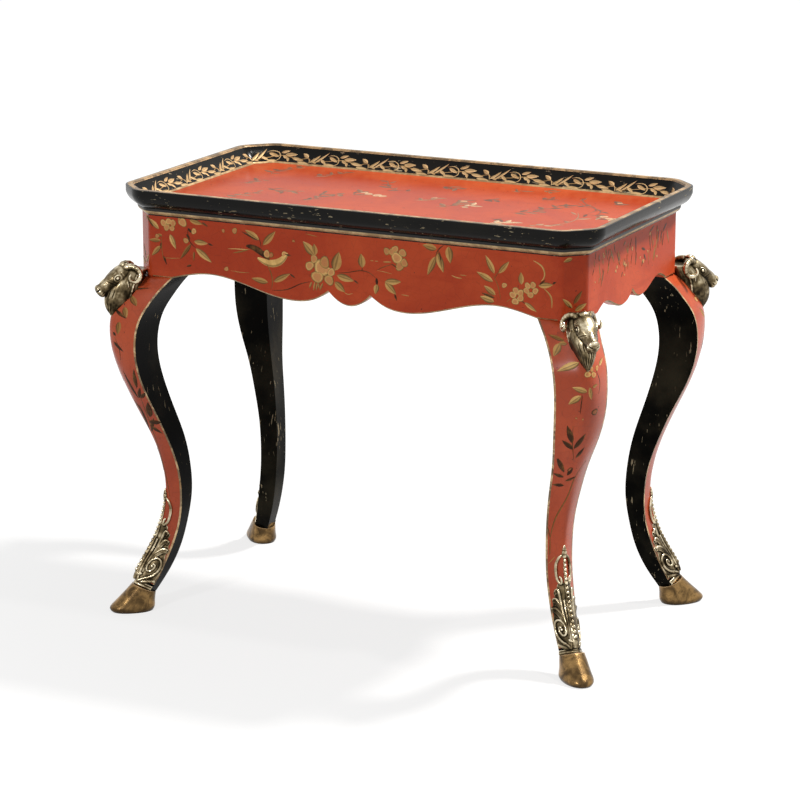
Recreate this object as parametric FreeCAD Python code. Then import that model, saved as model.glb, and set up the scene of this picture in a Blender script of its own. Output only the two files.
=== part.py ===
import FreeCAD, Part
import math
import os

from FreeCAD import Vector

# Overall sizes of the table, in millimetres
table_height = 730.0
rim_length = 854.0
rim_width = 494.0
corner_cant = 47.0
corner_round = 40.0

# Tray: a rim that stands on the edge of a rebated panel
tray_depth = 29.0
panel_thickness = 14.0
rim_seat_rebate = 3.0
rim_lip = 12.0
rim_foot_inset = 35.0
rim_undercut = 19.0
rim_edge_height = 11.0
rim_swell = 3.5
rim_hollow = 2.5

# Bead moulding under the rim
bead_projection = 8.0
bead_height = 12.0
bead_swell = 2.6

# Frame under the tray
apron_inset = 27.0
rail_thickness = 20.0
corner_board_thickness = 12.0
rail_depth = 105.0
front_wave = 15.5
side_wave = 12.0

# Legs
leg_square = 69.0
leg_recess = 4.0
ankle_front_height = 48.0
ankle_back_height = 31.0

# Diagonal blocks inside the frame
brace_thickness = 22.0
brace_height = 60.0
brace_seat_width = 20.0

# Brass mounts
mount_thickness = 7.0
mount_foot_gap = 3.2
mount_pin_clearance = 2.0
volute_radius = 9.5
volute_roll = 2.0
volute_turn_count = 1.25
volute_station_count = 9
scroll_eye_radius = 4.0
horn_thickness = 9.5
horn_ring_radius = 10.0
horn_ring_forward = 1.0
horn_ring_drop = 7.0
ear_length = 17.0
ear_thickness = 4.0
ram_head_length = 72.0
ram_head_width = 34.0
ram_head_tilt = 33.0
ram_crown_outward = 4.0
ram_crown_rise = 10.0
ram_collar_drop = 68.0

# Hooves
hoof_length = 77.0
hoof_width = 50.0
hoof_heel_inset = 25.0

# Fasteners
screw_diameter = 5.0
screw_head_diameter = 9.5
screw_head_height = 3.0
leg_screw_length = 55.0
top_screw_bite = 9.0
top_screw_sink = 5.0
ram_pin_diameter = 4.0
ram_pin_length = 46.0
mount_pin_diameter = 2.5
mount_pin_length = 16.0
hoof_screw_diameter = 7.0
hoof_screw_head_diameter = 14.0
hoof_screw_head_height = 5.0
hoof_screw_sink = 3.0

# One overrun for every cut
overrun = 30.0

# How finely round forms are drawn: flats in a moulding's round, flats round a corner's turn, how near arcs
# follow a rail's curve, sides of a screw, stations of a leg, flats from its side to its ridge, and sides of
# a cast form and of a horn
round_flat_count = 3
turn_flat_count = 4
curve_closeness = 0.2
screw_side_count = 6
leg_station_count = 22
leg_face_flat_count = 3
cast_side_count = 8
horn_side_count = 6

# Places that follow from the sizes
sqrt2 = math.sqrt(2)
half_length = rim_length / 2
half_width = rim_width / 2
turn_setback = corner_round * math.tan(math.pi / 8)
run_x = half_length - corner_cant - turn_setback
run_y = half_width - corner_cant - turn_setback
turn_degrees = 45
cant_run = corner_cant * sqrt2 - 2 * turn_setback
floor_z = table_height - tray_depth
rim_foot_z = floor_z - rim_seat_rebate
frame_top_z = floor_z - panel_thickness
shoulder_height = frame_top_z - rail_depth
ram_crown_height = shoulder_height + ram_crown_rise
ram_collar_tip_height = shoulder_height - ram_collar_drop
bead_foot_z = rim_foot_z - bead_height
apron_x = half_length - apron_inset
apron_y = half_width - apron_inset
post_x = apron_x - leg_recess - leg_square
post_y = apron_y - leg_recess - leg_square
diagonal = Vector(1, -1, 0) / sqrt2
up = Vector(0, 0, 1)


def cant_at(inset):
    """How much of each side the canted corner takes, at a distance in from the rim's outer edge."""
    return corner_cant - inset * (2 - sqrt2)


def arc(start, middle, end):
    return Part.Arc(start, middle, end).toShape()


def line(start, end):
    return Part.makeLine(start, end)


def polygon_face(points):
    return Part.Face(Part.makePolygon(points + [points[0]]))


def box(low, high):
    size = high.sub(low)
    return Part.makeBox(size.x, size.y, size.z, low)


def joined(shapes):
    return shapes[0].fuse(shapes[1:]).removeSplitter()


def chords(start, middle, end, count):
    """Points along the arc through three points, without the first: the flats that draw a round."""
    curve = Part.Arc(start, middle, end)
    first, last = curve.FirstParameter, curve.LastParameter
    return [curve.value(first + (last - first) * step / count) for step in range(1, count + 1)]


def carved(rings):
    """A closed body of flat facets through rings of matching points; its first and last rings are flat."""
    faces = [polygon_face(rings[0]), polygon_face(rings[-1])]
    for lower, upper in zip(rings, rings[1:]):
        lower_next = lower[1:] + lower[:1]
        upper_next = upper[1:] + upper[:1]
        for a, b, c, d in zip(lower, lower_next, upper_next, upper):
            faces.append(polygon_face([a, b, c]))
            faces.append(polygon_face([a, c, d]))
    body = Part.makeSolid(Part.makeShell(faces))
    if body.Volume < 0:
        body.reverse()
    return body.removeSplitter()


def oval(centre, first, second, sides):
    """Points round an ellipse given by its two half axes."""
    points = []
    for side in range(sides):
        turn = 2 * math.pi * side / sides
        points.append(centre + first * math.cos(turn) + second * math.sin(turn))
    return points


def fits_check(name, shape):
    """Every piece is a closed, valid body."""
    if not shape.isValid() or shape.Volume <= 0:
        raise ValueError(name + " is not a sound solid")


# Canted boards and mouldings

def turned(profile, degrees):
    """A profile's points turned clockwise about the centre of a corner's turn."""
    angle = math.radians(degrees)
    aside = Vector(math.cos(angle), -math.sin(angle), 0)
    return [aside * point.x + up * point.z for point in profile]


def corner_rings(profile):
    """A profile's points along the front right corner: a 45 degree turn, the cant, and a second turn."""
    first_centre = Vector(half_length - corner_round, -run_y, 0)
    second_centre = first_centre - Vector(1, 1, 0) / sqrt2 * cant_run
    rings = []
    for start, centre in ((0, first_centre), (turn_degrees, second_centre)):
        for step in range(turn_flat_count + 1):
            ring = turned(profile, start + turn_degrees * step / turn_flat_count)
            rings.append([point + centre for point in ring])
    return rings


def canted_board(inset, low, high):
    """A board with the tray's canted and rounded corners, set in from the rim's outer edge."""
    edge = Vector(corner_round - inset, 0, low)
    corner = [ring[0] for ring in corner_rings([edge])]
    front_left = [Vector(-point.x, point.y, low) for point in reversed(corner)]
    back_left = [Vector(-point.x, -point.y, low) for point in corner]
    back_right = [Vector(point.x, -point.y, low) for point in reversed(corner)]
    outline = corner + front_left + back_left + back_right
    return polygon_face(outline).extrude(up * (high - low))


def rim_profile():
    """Section of the rim: x runs outward from the turning centre of a corner, z is the height."""
    lip_x = corner_round - rim_lip
    foot_x = corner_round - rim_foot_inset
    under_x = corner_round - rim_undercut
    edge_z = table_height - rim_edge_height
    edge = Vector(corner_round, 0, edge_z)
    under = Vector(under_x, 0, rim_foot_z)
    foot = Vector(foot_x, 0, floor_z)
    lip = Vector(lip_x, 0, table_height)
    outside_middle = (edge + under) / 2 + Vector(rim_swell, 0, -rim_swell)
    inside_middle = (foot + lip) / 2 + Vector(rim_hollow, 0, -rim_hollow)
    outline = [Vector(corner_round, 0, table_height), edge]
    outline = outline + chords(edge, outside_middle, under, round_flat_count)
    outline = outline + [Vector(foot_x, 0, rim_foot_z), foot]
    return outline + chords(foot, inside_middle, lip, round_flat_count)


def bead_profile():
    """Section of the bead: a quarter-like round from the rim's foot down to the face of the rail."""
    face_x = corner_round - apron_inset
    front = Vector(face_x + bead_projection, 0, rim_foot_z)
    foot = Vector(face_x, 0, bead_foot_z)
    middle = (front + foot) / 2 + Vector(bead_swell, 0, -bead_swell)
    return [Vector(face_x, 0, rim_foot_z), front] + chords(front, middle, foot, round_flat_count)


def board_profile():
    """Section of the canted corner board between two rails."""
    outer_x = corner_round - apron_inset
    inner_x = outer_x - corner_board_thickness
    return [
        Vector(inner_x, 0, shoulder_height),
        Vector(outer_x, 0, shoulder_height),
        Vector(outer_x, 0, frame_top_z),
        Vector(inner_x, 0, frame_top_z),
    ]


def straight_right(profile):
    """A moulding run along the right side, which faces +X."""
    run = polygon_face(profile).extrude(Vector(0, 2 * run_y, 0))
    run.translate(Vector(half_length - corner_round, -run_y, 0))
    return run


def straight_front(profile):
    """A moulding run along the front side, which faces -Y."""
    run = polygon_face(profile).extrude(Vector(0, 2 * run_x, 0))
    run.rotate(Vector(0, 0, 0), up, -90)
    run.translate(Vector(-run_x, corner_round - half_width, 0))
    return run


def at_corners(front_right):
    """The same piece at the four corners, mirrored from the front right one."""
    front_left = front_right.mirror(Vector(0, 0, 0), Vector(1, 0, 0))
    return {
        "front_right": front_right,
        "front_left": front_left,
        "back_right": front_right.mirror(Vector(0, 0, 0), Vector(0, 1, 0)),
        "back_left": front_left.mirror(Vector(0, 0, 0), Vector(0, 1, 0)),
    }


def round_the_table(name, profile):
    """Four straight runs and four corner pieces of one moulding."""
    right = straight_right(profile)
    front = straight_front(profile)
    pieces = {
        name + "_right": right,
        name + "_left": right.mirror(Vector(0, 0, 0), Vector(1, 0, 0)),
        name + "_front": front,
        name + "_back": front.mirror(Vector(0, 0, 0), Vector(0, 1, 0)),
    }
    for place, piece in at_corners(carved(corner_rings(profile))).items():
        pieces[name + "_corner_" + place] = piece
    return pieces


# Rails: the lower edge from the middle to the leg, as shares of that length and of the wave's depth
front_lobe_share = 0.115
front_lobe_rise_shares = (-0.90, 0.39)
front_edge_shares = [(0.115, 0.39), (0.19, -0.56), (0.302, -1.0), (0.468, -0.52), (0.785, 0.81), (1.0, 0.0)]
side_edge_shares = [(0.0, 0.83), (0.12, -0.25), (0.274, -0.65), (0.53, 0.15), (0.774, 0.97), (1.0, 0.0)]


def edge_curve(shares, reach, wave, side):
    """Half of a rail's lower edge as arcs, in the plane of the rail; side is 1 or -1."""
    points = [Vector(side * reach * along, 0, shoulder_height + wave * rise) for along, rise in shares]
    if side > 0:
        points.reverse()
    curve = Part.BSplineCurve()
    curve.interpolate(points)
    return [piece.toShape() for piece in curve.toBiArcs(curve_closeness)]


def rail_solid(half_run, edges):
    """A rail with a shaped lower edge: its face lies at y = 0 and its back at the rail's thickness."""
    start = edges[-1].Vertexes[-1].Point
    left = Vector(-half_run, 0, shoulder_height)
    right = Vector(half_run, 0, shoulder_height)
    outline = [
        line(left, Vector(-half_run, 0, frame_top_z)),
        line(Vector(-half_run, 0, frame_top_z), Vector(half_run, 0, frame_top_z)),
        line(Vector(half_run, 0, frame_top_z), right),
        line(right, Vector(abs(start.x), 0, shoulder_height)),
        line(Vector(-abs(start.x), 0, shoulder_height), left),
    ]
    wire = Part.Wire(Part.__sortEdges__(outline + edges))
    return Part.Face(wire).extrude(Vector(0, rail_thickness, 0))


def front_rail():
    """The front rail: a middle lobe between two cusps, and an ogee to each leg."""
    lobe_x = post_x * front_lobe_share
    bottom_rise, cusp_rise = front_lobe_rise_shares
    cusp_z = shoulder_height + front_wave * cusp_rise
    lobe = arc(
        Vector(-lobe_x, 0, cusp_z),
        Vector(0, 0, shoulder_height + front_wave * bottom_rise),
        Vector(lobe_x, 0, cusp_z),
    )
    right = edge_curve(front_edge_shares, post_x, front_wave, 1)
    left = edge_curve(front_edge_shares, post_x, front_wave, -1)
    edges = right + [lobe] + left
    rail = rail_solid(run_x, edges)
    rail.translate(Vector(0, -apron_y, 0))
    return rail


def right_rail():
    """The right rail: one cusp in the middle between two lobes."""
    right = edge_curve(side_edge_shares, post_y, side_wave, 1)
    left = edge_curve(side_edge_shares, post_y, side_wave, -1)
    edges = right + left
    rail = rail_solid(run_y, edges)
    rail.rotate(Vector(0, 0, 0), up, 90)
    rail.translate(Vector(apron_x, 0, 0))
    return rail


# Legs
# The section of a leg is a kite on the corner's diagonal. Each row of shares gives the height, as a share
# of the shoulder's height, and then the outer ridge, the two side arrises, the inner arris, the half width
# at the side arrises and the half width of the blunt ridge, all as shares of the leg's square and measured
# outward along the diagonal from where the faces of the two rails would meet.
leg_section_shares = [
    (0.045, 0.20, -0.13, -0.38, 0.25, 0.11),
    (0.110, 0.00, -0.45, -0.76, 0.29, 0.08),
    (0.184, -0.34, -0.74, -1.07, 0.32, 0.05),
    (0.263, -0.60, -0.96, -1.26, 0.33, 0.05),
    (0.344, -0.71, -1.02, -1.37, 0.335, 0.05),
    (0.430, -0.64, -0.94, -1.34, 0.355, 0.08),
    (0.515, -0.41, -0.70, -1.20, 0.40, 0.12),
    (0.598, -0.07, -0.39, -0.96, 0.46, 0.16),
    (0.680, 0.25, -0.07, -0.73, 0.57, 0.26),
    (0.763, 0.51, 0.13, -0.58, 0.64, 0.24),
    (0.842, 0.61, 0.13, -0.61, 0.66, 0.18),
    (0.895, 0.53, -0.02, -0.77, 0.67, 0.16),
    (0.938, 0.30, -0.28, -1.02, 0.67, 0.20),
    (0.971, 0.04, -0.52, -1.25, 0.69, 0.26),
]
leg_roundness_share = 0.75


def shoulder_shares():
    """The last row: the leg's square head, a little behind the faces of the rails."""
    ridge = -cant_at(apron_inset) / sqrt2 - leg_recess
    side = -(2 * leg_recess + leg_square) / sqrt2
    inner = -(leg_recess + leg_square) * sqrt2
    across = leg_square / sqrt2
    blunt = side + across - ridge
    return (1.0,) + tuple(size / leg_square for size in (ridge, side, inner, across, blunt))


def smooth_columns():
    """One smooth curve over the height for each column of the leg's rows."""
    rows = leg_section_shares + [shoulder_shares()]
    heights = [row[0] for row in rows]
    columns = []
    for column in range(1, len(rows[0])):
        curve = Part.BSplineCurve()
        points = [Vector(row[0], row[column], 0) for row in rows]
        curve.interpolate(Points=points, Parameters=heights)
        columns.append(curve)
    return columns


leg_columns = smooth_columns()


def leg_sizes_at(z):
    """Ridge, side, inner arris, half width and blunt half width of the leg at any height."""
    return [curve.value(z / shoulder_height).y * leg_square for curve in leg_columns]


def rounded_points(start, corner, end, roundness_share, flats):
    """Points from start to end along a curve that is pulled towards the corner between them."""
    curve = Part.BezierCurve()
    first = start + (corner - start) * roundness_share
    second = end + (corner - end) * roundness_share
    curve.setPoles([start, first, second, end])
    return [curve.value(step / flats) for step in range(flats + 1)]


def kite(z, ridge_thickness, side_thickness):
    """The leg's section with its outer faces moved out, in its own place with the diagonal along x."""
    ridge, side, inner, across, blunt = leg_sizes_at(z)
    out = side_thickness / sqrt2
    arris = Vector(side + out, across + out, z)
    corner = Vector(ridge + ridge_thickness, blunt + out, z)
    nose = Vector(ridge + ridge_thickness, 0, z)
    right = rounded_points(arris, corner, nose, leg_roundness_share, leg_face_flat_count)
    left = [Vector(point.x, -point.y, z) for point in reversed(right[:-1])]
    return [Vector(inner, 0, z)] + right + left


def leg_body_blank():
    """The carved leg from below the ankle joint to the shoulder."""
    low = leg_section_shares[0][0] * shoulder_height
    rings = []
    for station in range(leg_station_count + 1):
        rings.append(kite(low + (shoulder_height - low) * station / leg_station_count, 0, 0))
    return carved(rings)


def ankle_sizes():
    """Toe-side and heel-side ends of the sloping joint between the ankle and the hoof."""
    toe = leg_section_shares[0][1] * leg_square
    heel = leg_section_shares[0][3] * leg_square
    return toe, heel


def above_ankle():
    """A block that takes in everything above the sloping joint, in the leg's own place."""
    toe, heel = ankle_sizes()
    slope = (ankle_front_height - ankle_back_height) / (toe - heel)
    reach = table_height
    low_end = Vector(heel - reach, -reach, ankle_back_height - slope * reach)
    high_end = Vector(toe + reach, -reach, ankle_front_height + slope * reach)
    rise = up * reach
    face = polygon_face([low_end, high_end, high_end + rise, low_end + rise])
    return face.extrude(Vector(0, 2 * reach, 0))


def to_front_right(shape):
    """From the leg's own place, with the diagonal along +X, to the front right corner of the frame."""
    placed = shape.copy()
    placed.rotate(Vector(0, 0, 0), up, -45)
    placed.translate(Vector(apron_x, -apron_y, 0))
    return placed


def on_diagonal(outward, across, z):
    """A point given along and across the front right diagonal, in the table's frame."""
    along = diagonal * outward + Vector(1, 1, 0) / sqrt2 * across
    return Vector(apron_x + along.x, along.y - apron_y, z)


def post_solid():
    """The leg's post: it fills the corner behind the canted board and takes the ends of both rails."""
    inside = canted_board(apron_inset + corner_board_thickness, shoulder_height, frame_top_z)
    corner = box(Vector(post_x, -apron_y, shoulder_height), Vector(apron_x, -post_y, frame_top_z))
    behind_front = box(
        Vector(post_x, -apron_y, shoulder_height),
        Vector(run_x, rail_thickness - apron_y, frame_top_z),
    )
    behind_right = box(
        Vector(apron_x - rail_thickness, -run_y, shoulder_height),
        Vector(apron_x, -post_y, frame_top_z),
    )
    post = inside.common(corner).cut(behind_front).cut(behind_right)
    seat = brace_seat_depth()
    arris = polygon_face([
        Vector(post_x, -post_y, shoulder_height),
        Vector(post_x + seat, -post_y, shoulder_height),
        Vector(post_x, -post_y - seat, shoulder_height),
    ]).extrude(up * (frame_top_z - shoulder_height))
    return post.cut(arris)


def brace_seat_depth():
    """How much of each inner side of the post the flat for the brace takes."""
    return brace_seat_width / sqrt2


def rod(start, direction, diameter, length):
    """A round rod, drawn with as many sides as every screw and pin."""
    along = Vector(direction).normalize()
    across = along.cross(Vector(along.z, along.x, along.y)).normalize()
    first = across * (diameter / 2)
    second = along.cross(across) * (diameter / 2)
    return polygon_face(oval(start, first, second, screw_side_count)).extrude(along * length)


def countersunk_screw(head_end, direction, length):
    """A wood screw: the face of its head is at head_end and its shank runs along direction."""
    along = Vector(direction).normalize()
    across = along.cross(Vector(along.z, along.x, along.y)).normalize()
    rings = []
    steps = [(screw_head_diameter, 0), (screw_diameter, screw_head_height), (screw_diameter, length)]
    for diameter, depth in steps:
        first = across * (diameter / 2)
        second = along.cross(across) * (diameter / 2)
        rings.append(oval(head_end + along * depth, first, second, screw_side_count))
    return carved(rings)


# Foot mounts
# The leaf runs up the ridge of the ankle, to a share of the shoulder's height. Each row of shares gives a
# place along the leaf, and its thickness on the ridge and at the sides: it curls out at the foot and thins
# to a tip.
mount_top_share = 0.359
mount_swell_shares = [
    (-0.048, 0.9, 0.4),
    (0.044, 1.2, 0.5),
    (0.133, 1.9, 0.6),
    (0.229, 1.4, 0.7),
    (0.450, 1.3, 0.7),
    (0.745, 0.9, 0.6),
    (1.077, 0.4, 0.3),
]
# Half of the leaf's outline as shares of the mount's height and of the leg's half width: its notches, and
# the middles of the lobes between them
leaf_outline_shares = [(1.0, 0.0), (0.88, 0.22), (0.58, 0.50), (0.31, 0.64), (0.0, 0.60)]
leaf_lobe_shares = [(0.94, 0.16), (0.74, 0.62), (0.44, 0.80), (0.17, 0.90)]
scroll_eye_place_shares = (0.76, 0.30)
volute_place_shares = (0.18, 0.56)


def mount_height(height_share):
    """The height of a place along the leaf, which stands a little above the ankle's joint."""
    low = ankle_front_height + mount_foot_gap
    high = mount_top_share * shoulder_height
    return low + (high - low) * height_share


def mount_point(height_share, width_share):
    """A point of the leaf's outline, seen from the front of the leg."""
    z = mount_height(height_share)
    across = leg_sizes_at(z)[3]
    return Vector(0, across * width_share, z)


def leaf_half(side):
    """One half of the leaf's outline as a face on the plane x = 0; side is 1 or -1."""
    corners = [mount_point(*place) for place in leaf_outline_shares]
    lobes = [mount_point(*place) for place in leaf_lobe_shares]
    outline = [corners[0]]
    for start, middle, end in zip(corners, lobes, corners[1:]):
        outline = outline + chords(start, middle, end, round_flat_count)
    outline.append(Vector(0, 0, corners[-1].z))
    return polygon_face([Vector(0, point.y * side, point.z) for point in outline])


def through_leaf(face):
    """A face of the front view, as a block that passes right through the mount."""
    reach = leg_square * 2
    block = face.extrude(Vector(2 * reach, 0, 0))
    block.translate(Vector(-reach, 0, 0))
    return block


def volute_middle():
    """Where the middle of the right volute lies on the leg's outer face."""
    place = mount_point(*volute_place_shares)
    ridge, side, inner, across, blunt = leg_sizes_at(place.z)
    width_share = volute_place_shares[1]
    return Vector(ridge + (side - ridge) * width_share, across * width_share, place.z)


def volute(side):
    """The scroll that ends a leaf beside the ankle: a spiral roll on a round boss."""
    outward = Vector(1, 1, 0).normalize()
    across = Vector(1, -1, 0).normalize()
    boss_half = volute_radius - volute_roll
    middle = volute_middle()
    rise = mount_thickness + volute_roll / 2
    boss_rings = []
    for lift in (0, rise):
        boss_rings.append(oval(middle + outward * lift, across * boss_half, up * boss_half, cast_side_count))
    roll_rings = []
    for station in range(volute_station_count + 1):
        share = station / volute_station_count
        turn = 2 * math.pi * volute_turn_count * share - math.pi / 2
        arm = across * math.cos(turn) + up * math.sin(turn)
        reach = volute_radius - volute_roll - (volute_radius - 2 * volute_roll) * share
        half = volute_roll * (1 - share / 2)
        centre = middle + outward * rise + arm * reach
        roll_rings.append(oval(centre, arm * half, outward * half, 4))
    scroll = carved(boss_rings).fuse(carved(roll_rings))
    if side < 0:
        scroll = scroll.mirror(Vector(0, 0, 0), Vector(0, 1, 0))
    return scroll


def foot_mount(leg):
    """A cast acanthus leaf that wraps the leg's outer faces, with a volute on each side of the ankle."""
    rings = []
    for height_share, ridge_share, side_share in mount_swell_shares:
        z = mount_height(height_share)
        rings.append(kite(z, mount_thickness * ridge_share, mount_thickness * side_share))
    leaf = through_leaf(leaf_half(1)).fuse(through_leaf(leaf_half(-1)))
    shell = carved(rings).common(leaf)
    reach = leg_square * 2
    for side in (1, -1):
        eye = mount_point(*scroll_eye_place_shares)
        start = Vector(-reach, eye.y * side, eye.z)
        shell = shell.cut(rod(start, Vector(1, 0, 0), 2 * scroll_eye_radius, 2 * reach))
    return largest(shell.fuse([volute(1), volute(-1)]).cut(leg))


def largest(shape):
    """The main body of a cut, without loose slivers."""
    return max(shape.Solids, key=lambda solid: solid.Volume)


# Ram's-head masks
# Head: share of the length from crown to muzzle, then half height and half width as shares of the width
head_section_shares = [
    (0.0, 0.26, 0.34),
    (0.14, 0.46, 0.46),
    (0.34, 0.50, 0.50),
    (0.50, 0.46, 0.47),
    (0.70, 0.35, 0.32),
    (0.88, 0.33, 0.29),
    (0.97, 0.26, 0.24),
    (1.0, 0.12, 0.12),
]
# Neck and pointed collar: share of the height from the collar's tip to the crown, then the outer reach, the
# half depth and the half width as shares of the head's width
neck_section_shares = [
    (1.0, 0.50, 0.60, 0.50),
    (0.70, 1.18, 0.85, 0.66),
    (0.35, 1.48, 0.90, 0.46),
    (0.12, 1.36, 0.50, 0.24),
    (0.0, 1.18, 0.18, 0.08),
]
# Horn: turn in degrees round the ring, share of the ring's radius, share of the horn's thickness, and how
# far out from the head's side as a share of the head's width
horn_turn_shares = [
    (25, 1.50, 1.00, 0.20),
    (70, 1.35, 1.00, 0.38),
    (115, 1.20, 0.94, 0.58),
    (160, 1.06, 0.84, 0.72),
    (205, 1.00, 0.75, 0.80),
    (250, 1.00, 0.68, 0.85),
    (295, 1.00, 0.58, 0.88),
    (340, 0.98, 0.44, 0.90),
    (385, 0.75, 0.26, 0.90),
]
ear_root_share = 0.22
ear_section_shares = [(-0.5, 0.8), (0.1, 1.3), (0.6, 1.1), (1.0, 0.3)]


def crown_point():
    return Vector(ram_crown_outward, 0, ram_crown_height)


def head_direction():
    tilt = math.radians(ram_head_tilt)
    return Vector(math.cos(tilt), 0, -math.sin(tilt))


def head_form():
    along = head_direction()
    lift = Vector(-along.z, 0, along.x)
    rings = []
    for length_share, height_share, width_share in head_section_shares:
        centre = crown_point() + along * (ram_head_length * length_share)
        half_height = lift * (ram_head_width * height_share)
        half_across = Vector(0, ram_head_width * width_share, 0)
        rings.append(oval(centre, half_height, half_across, cast_side_count))
    return carved(rings)


def neck_form():
    rings = []
    for height_share, reach_share, depth_share, width_share in neck_section_shares:
        z = ram_collar_tip_height + (ram_crown_height - ram_collar_tip_height) * height_share
        depth = ram_head_width * depth_share
        centre = Vector(ram_head_width * reach_share - depth, 0, z)
        half_across = Vector(0, ram_head_width * width_share, 0)
        rings.append(oval(centre, Vector(depth, 0, 0), half_across, cast_side_count))
    return carved(rings)


def horn(side):
    """A horn that rises from the crown and curls back, down and forward beside the head."""
    centre = crown_point() + Vector(horn_ring_forward, 0, -horn_ring_drop)
    rings = []
    for turn, radius_share, thickness_share, out_share in horn_turn_shares:
        angle = math.radians(turn)
        outward = Vector(math.cos(angle), 0, math.sin(angle))
        middle = centre + outward * (horn_ring_radius * radius_share)
        middle = middle + Vector(0, side * ram_head_width * out_share, 0)
        half = horn_thickness / 2 * thickness_share
        rings.append(oval(middle, outward * half, Vector(0, side * half, 0), horn_side_count))
    return carved(rings)


def ear(side):
    """A small leaf-shaped ear that points out and down from below the horn."""
    root = crown_point() + head_direction() * (ram_head_length * ear_root_share)
    along = Vector(-1, side * 2, -1).normalize()
    across = Vector(1, 0, -1).normalize()
    thin = along.cross(across)
    rings = []
    for length_share, width_share in ear_section_shares:
        centre = root + along * (ram_head_width / 2 + ear_length * length_share)
        rings.append(oval(centre, across * (ear_thickness * width_share), thin * (ear_thickness / 2), 4))
    return carved(rings)


def ram_head(seat):
    """A cast mask that sits on the knee and against the canted board."""
    cast = head_form().fuse([neck_form(), horn(1), horn(-1), ear(1), ear(-1)])
    return largest(to_front_right(cast).cut(seat))


# Hooves: share of the height from the sole to the top of the ankle joint, then the heel, the toe and the
# half width as shares of the hoof's length and width
hoof_section_shares = [
    (0.0, 0.03, 0.95, 0.45),
    (0.10, 0.0, 1.0, 0.50),
    (0.28, -0.01, 0.93, 0.48),
    (0.62, -0.03, 0.70, 0.43),
    (1.06, -0.05, 0.42, 0.34),
]
hoof_widest_share = 0.42
hoof_roundness_share = 0.60


def hoof_ring(row):
    height_share, heel_share, toe_share, width_share = row
    z = ankle_front_height * height_share
    heel = Vector(hoof_length * heel_share - hoof_heel_inset, 0, z)
    toe = Vector(hoof_length * toe_share - hoof_heel_inset, 0, z)
    across = hoof_width * width_share
    side = Vector(heel.x + (toe.x - heel.x) * hoof_widest_share, across, z)
    back = rounded_points(heel, Vector(heel.x, across, z), side, hoof_roundness_share, round_flat_count)
    front = rounded_points(side, Vector(toe.x, across, z), toe, hoof_roundness_share, round_flat_count)
    right = back + front[1:]
    left = [Vector(point.x, -point.y, z) for point in reversed(right[1:-1])]
    return right + left


def hoof_solid():
    return carved([hoof_ring(row) for row in hoof_section_shares]).cut(above_ankle())


# Braces and fasteners

def brace_solid():
    """A diagonal block from the front rail to the right rail, against the flat on the post."""
    front_y = rail_thickness - apron_y
    right_x = apron_x - rail_thickness
    seat_sum = post_x + post_y + brace_seat_depth()
    back_sum = seat_sum - brace_thickness * sqrt2
    low = frame_top_z - brace_height
    return polygon_face([
        Vector(seat_sum + front_y, front_y, low),
        Vector(right_x, right_x - seat_sum, low),
        Vector(right_x, right_x - back_sum, low),
        Vector(back_sum + front_y, front_y, low),
    ]).extrude(up * brace_height)


brace_screw_height_shares = (0.28, 0.72)
brace_screw_place_share = 0.34


def brace_face_middle():
    """Middle of the brace's inner face, at the foot of the brace."""
    back_sum = post_x + post_y + brace_seat_depth() - brace_thickness * sqrt2
    offset = (post_x - post_y) / 2
    return Vector(back_sum / 2 + offset, offset - back_sum / 2, frame_top_z - brace_height)


def leg_screws_here():
    """Two screws from the brace's inner face straight out into the post."""
    screws = []
    for share in brace_screw_height_shares:
        start = brace_face_middle() + up * (brace_height * share)
        screws.append(countersunk_screw(start, diagonal, leg_screw_length))
    return screws


def brace_screw_ends():
    """Head and direction of the screw at each end of the brace, square to the rail it holds."""
    front_y = rail_thickness - apron_y
    right_x = apron_x - rail_thickness
    seat_sum = post_x + post_y + brace_seat_depth()
    setback = brace_thickness * brace_screw_place_share
    wood = brace_thickness * sqrt2 - setback - screw_head_diameter / 2
    z = frame_top_z - brace_height / 2
    return [
        (Vector(seat_sum + front_y - setback, front_y + wood, z), Vector(0, -1, 0), wood),
        (Vector(right_x - wood, right_x - seat_sum + setback, z), Vector(1, 0, 0), wood),
    ]


def brace_screws_here():
    screws = []
    for head_end, direction, wood in brace_screw_ends():
        screws.append(countersunk_screw(head_end, direction, wood + rail_thickness / 2))
    return screws


def top_screw_heads():
    """Heads of the two screws that go up through the brace into the tray panel."""
    along = Vector(1, 1, 0) / sqrt2
    middle = brace_face_middle() + diagonal * (brace_thickness / 2) + up * top_screw_sink
    spread = along * (brace_height / 2)
    return [middle + spread, middle - spread]


def top_screws_here():
    length = brace_height - top_screw_sink + top_screw_bite
    return [countersunk_screw(head_end, up, length) for head_end in top_screw_heads()]


def screw_mouths():
    """Openings in the brace through which the sunk screws are driven."""
    mouths = []
    for head_end in top_screw_heads():
        mouths.append(rod(head_end - up * overrun, up, screw_head_diameter, overrun))
    for head_end, direction, wood in brace_screw_ends():
        mouths.append(rod(head_end - direction * overrun, direction, screw_head_diameter, overrun))
    return mouths


def ram_pin_here():
    """A pin from the mask straight back into the knee."""
    z = (ram_collar_tip_height + ram_crown_height) / 2
    return rod(on_diagonal(ram_head_width, 0, z), diagonal * -1, ram_pin_diameter, ram_pin_length)


upper_pin_height_share = 0.62


def mount_pins_here():
    """Two pins through the leaf's ridge into the ankle, the lower one clear of the hoof's screw."""
    lower_z = hoof_screw_sink + hoof_screw_length() + mount_pin_clearance
    pins = []
    for z in (lower_z, mount_height(upper_pin_height_share)):
        ridge = leg_sizes_at(z)[0]
        start = on_diagonal(ridge + mount_thickness / 2, 0, z)
        pins.append(rod(start, diagonal * -1, mount_pin_diameter, mount_pin_length))
    return pins


hoof_screw_top_share = 0.1117


def hoof_screw_length():
    """The screw ends where the ankle is still straight enough to hold it."""
    return shoulder_height * hoof_screw_top_share - hoof_screw_sink


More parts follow.
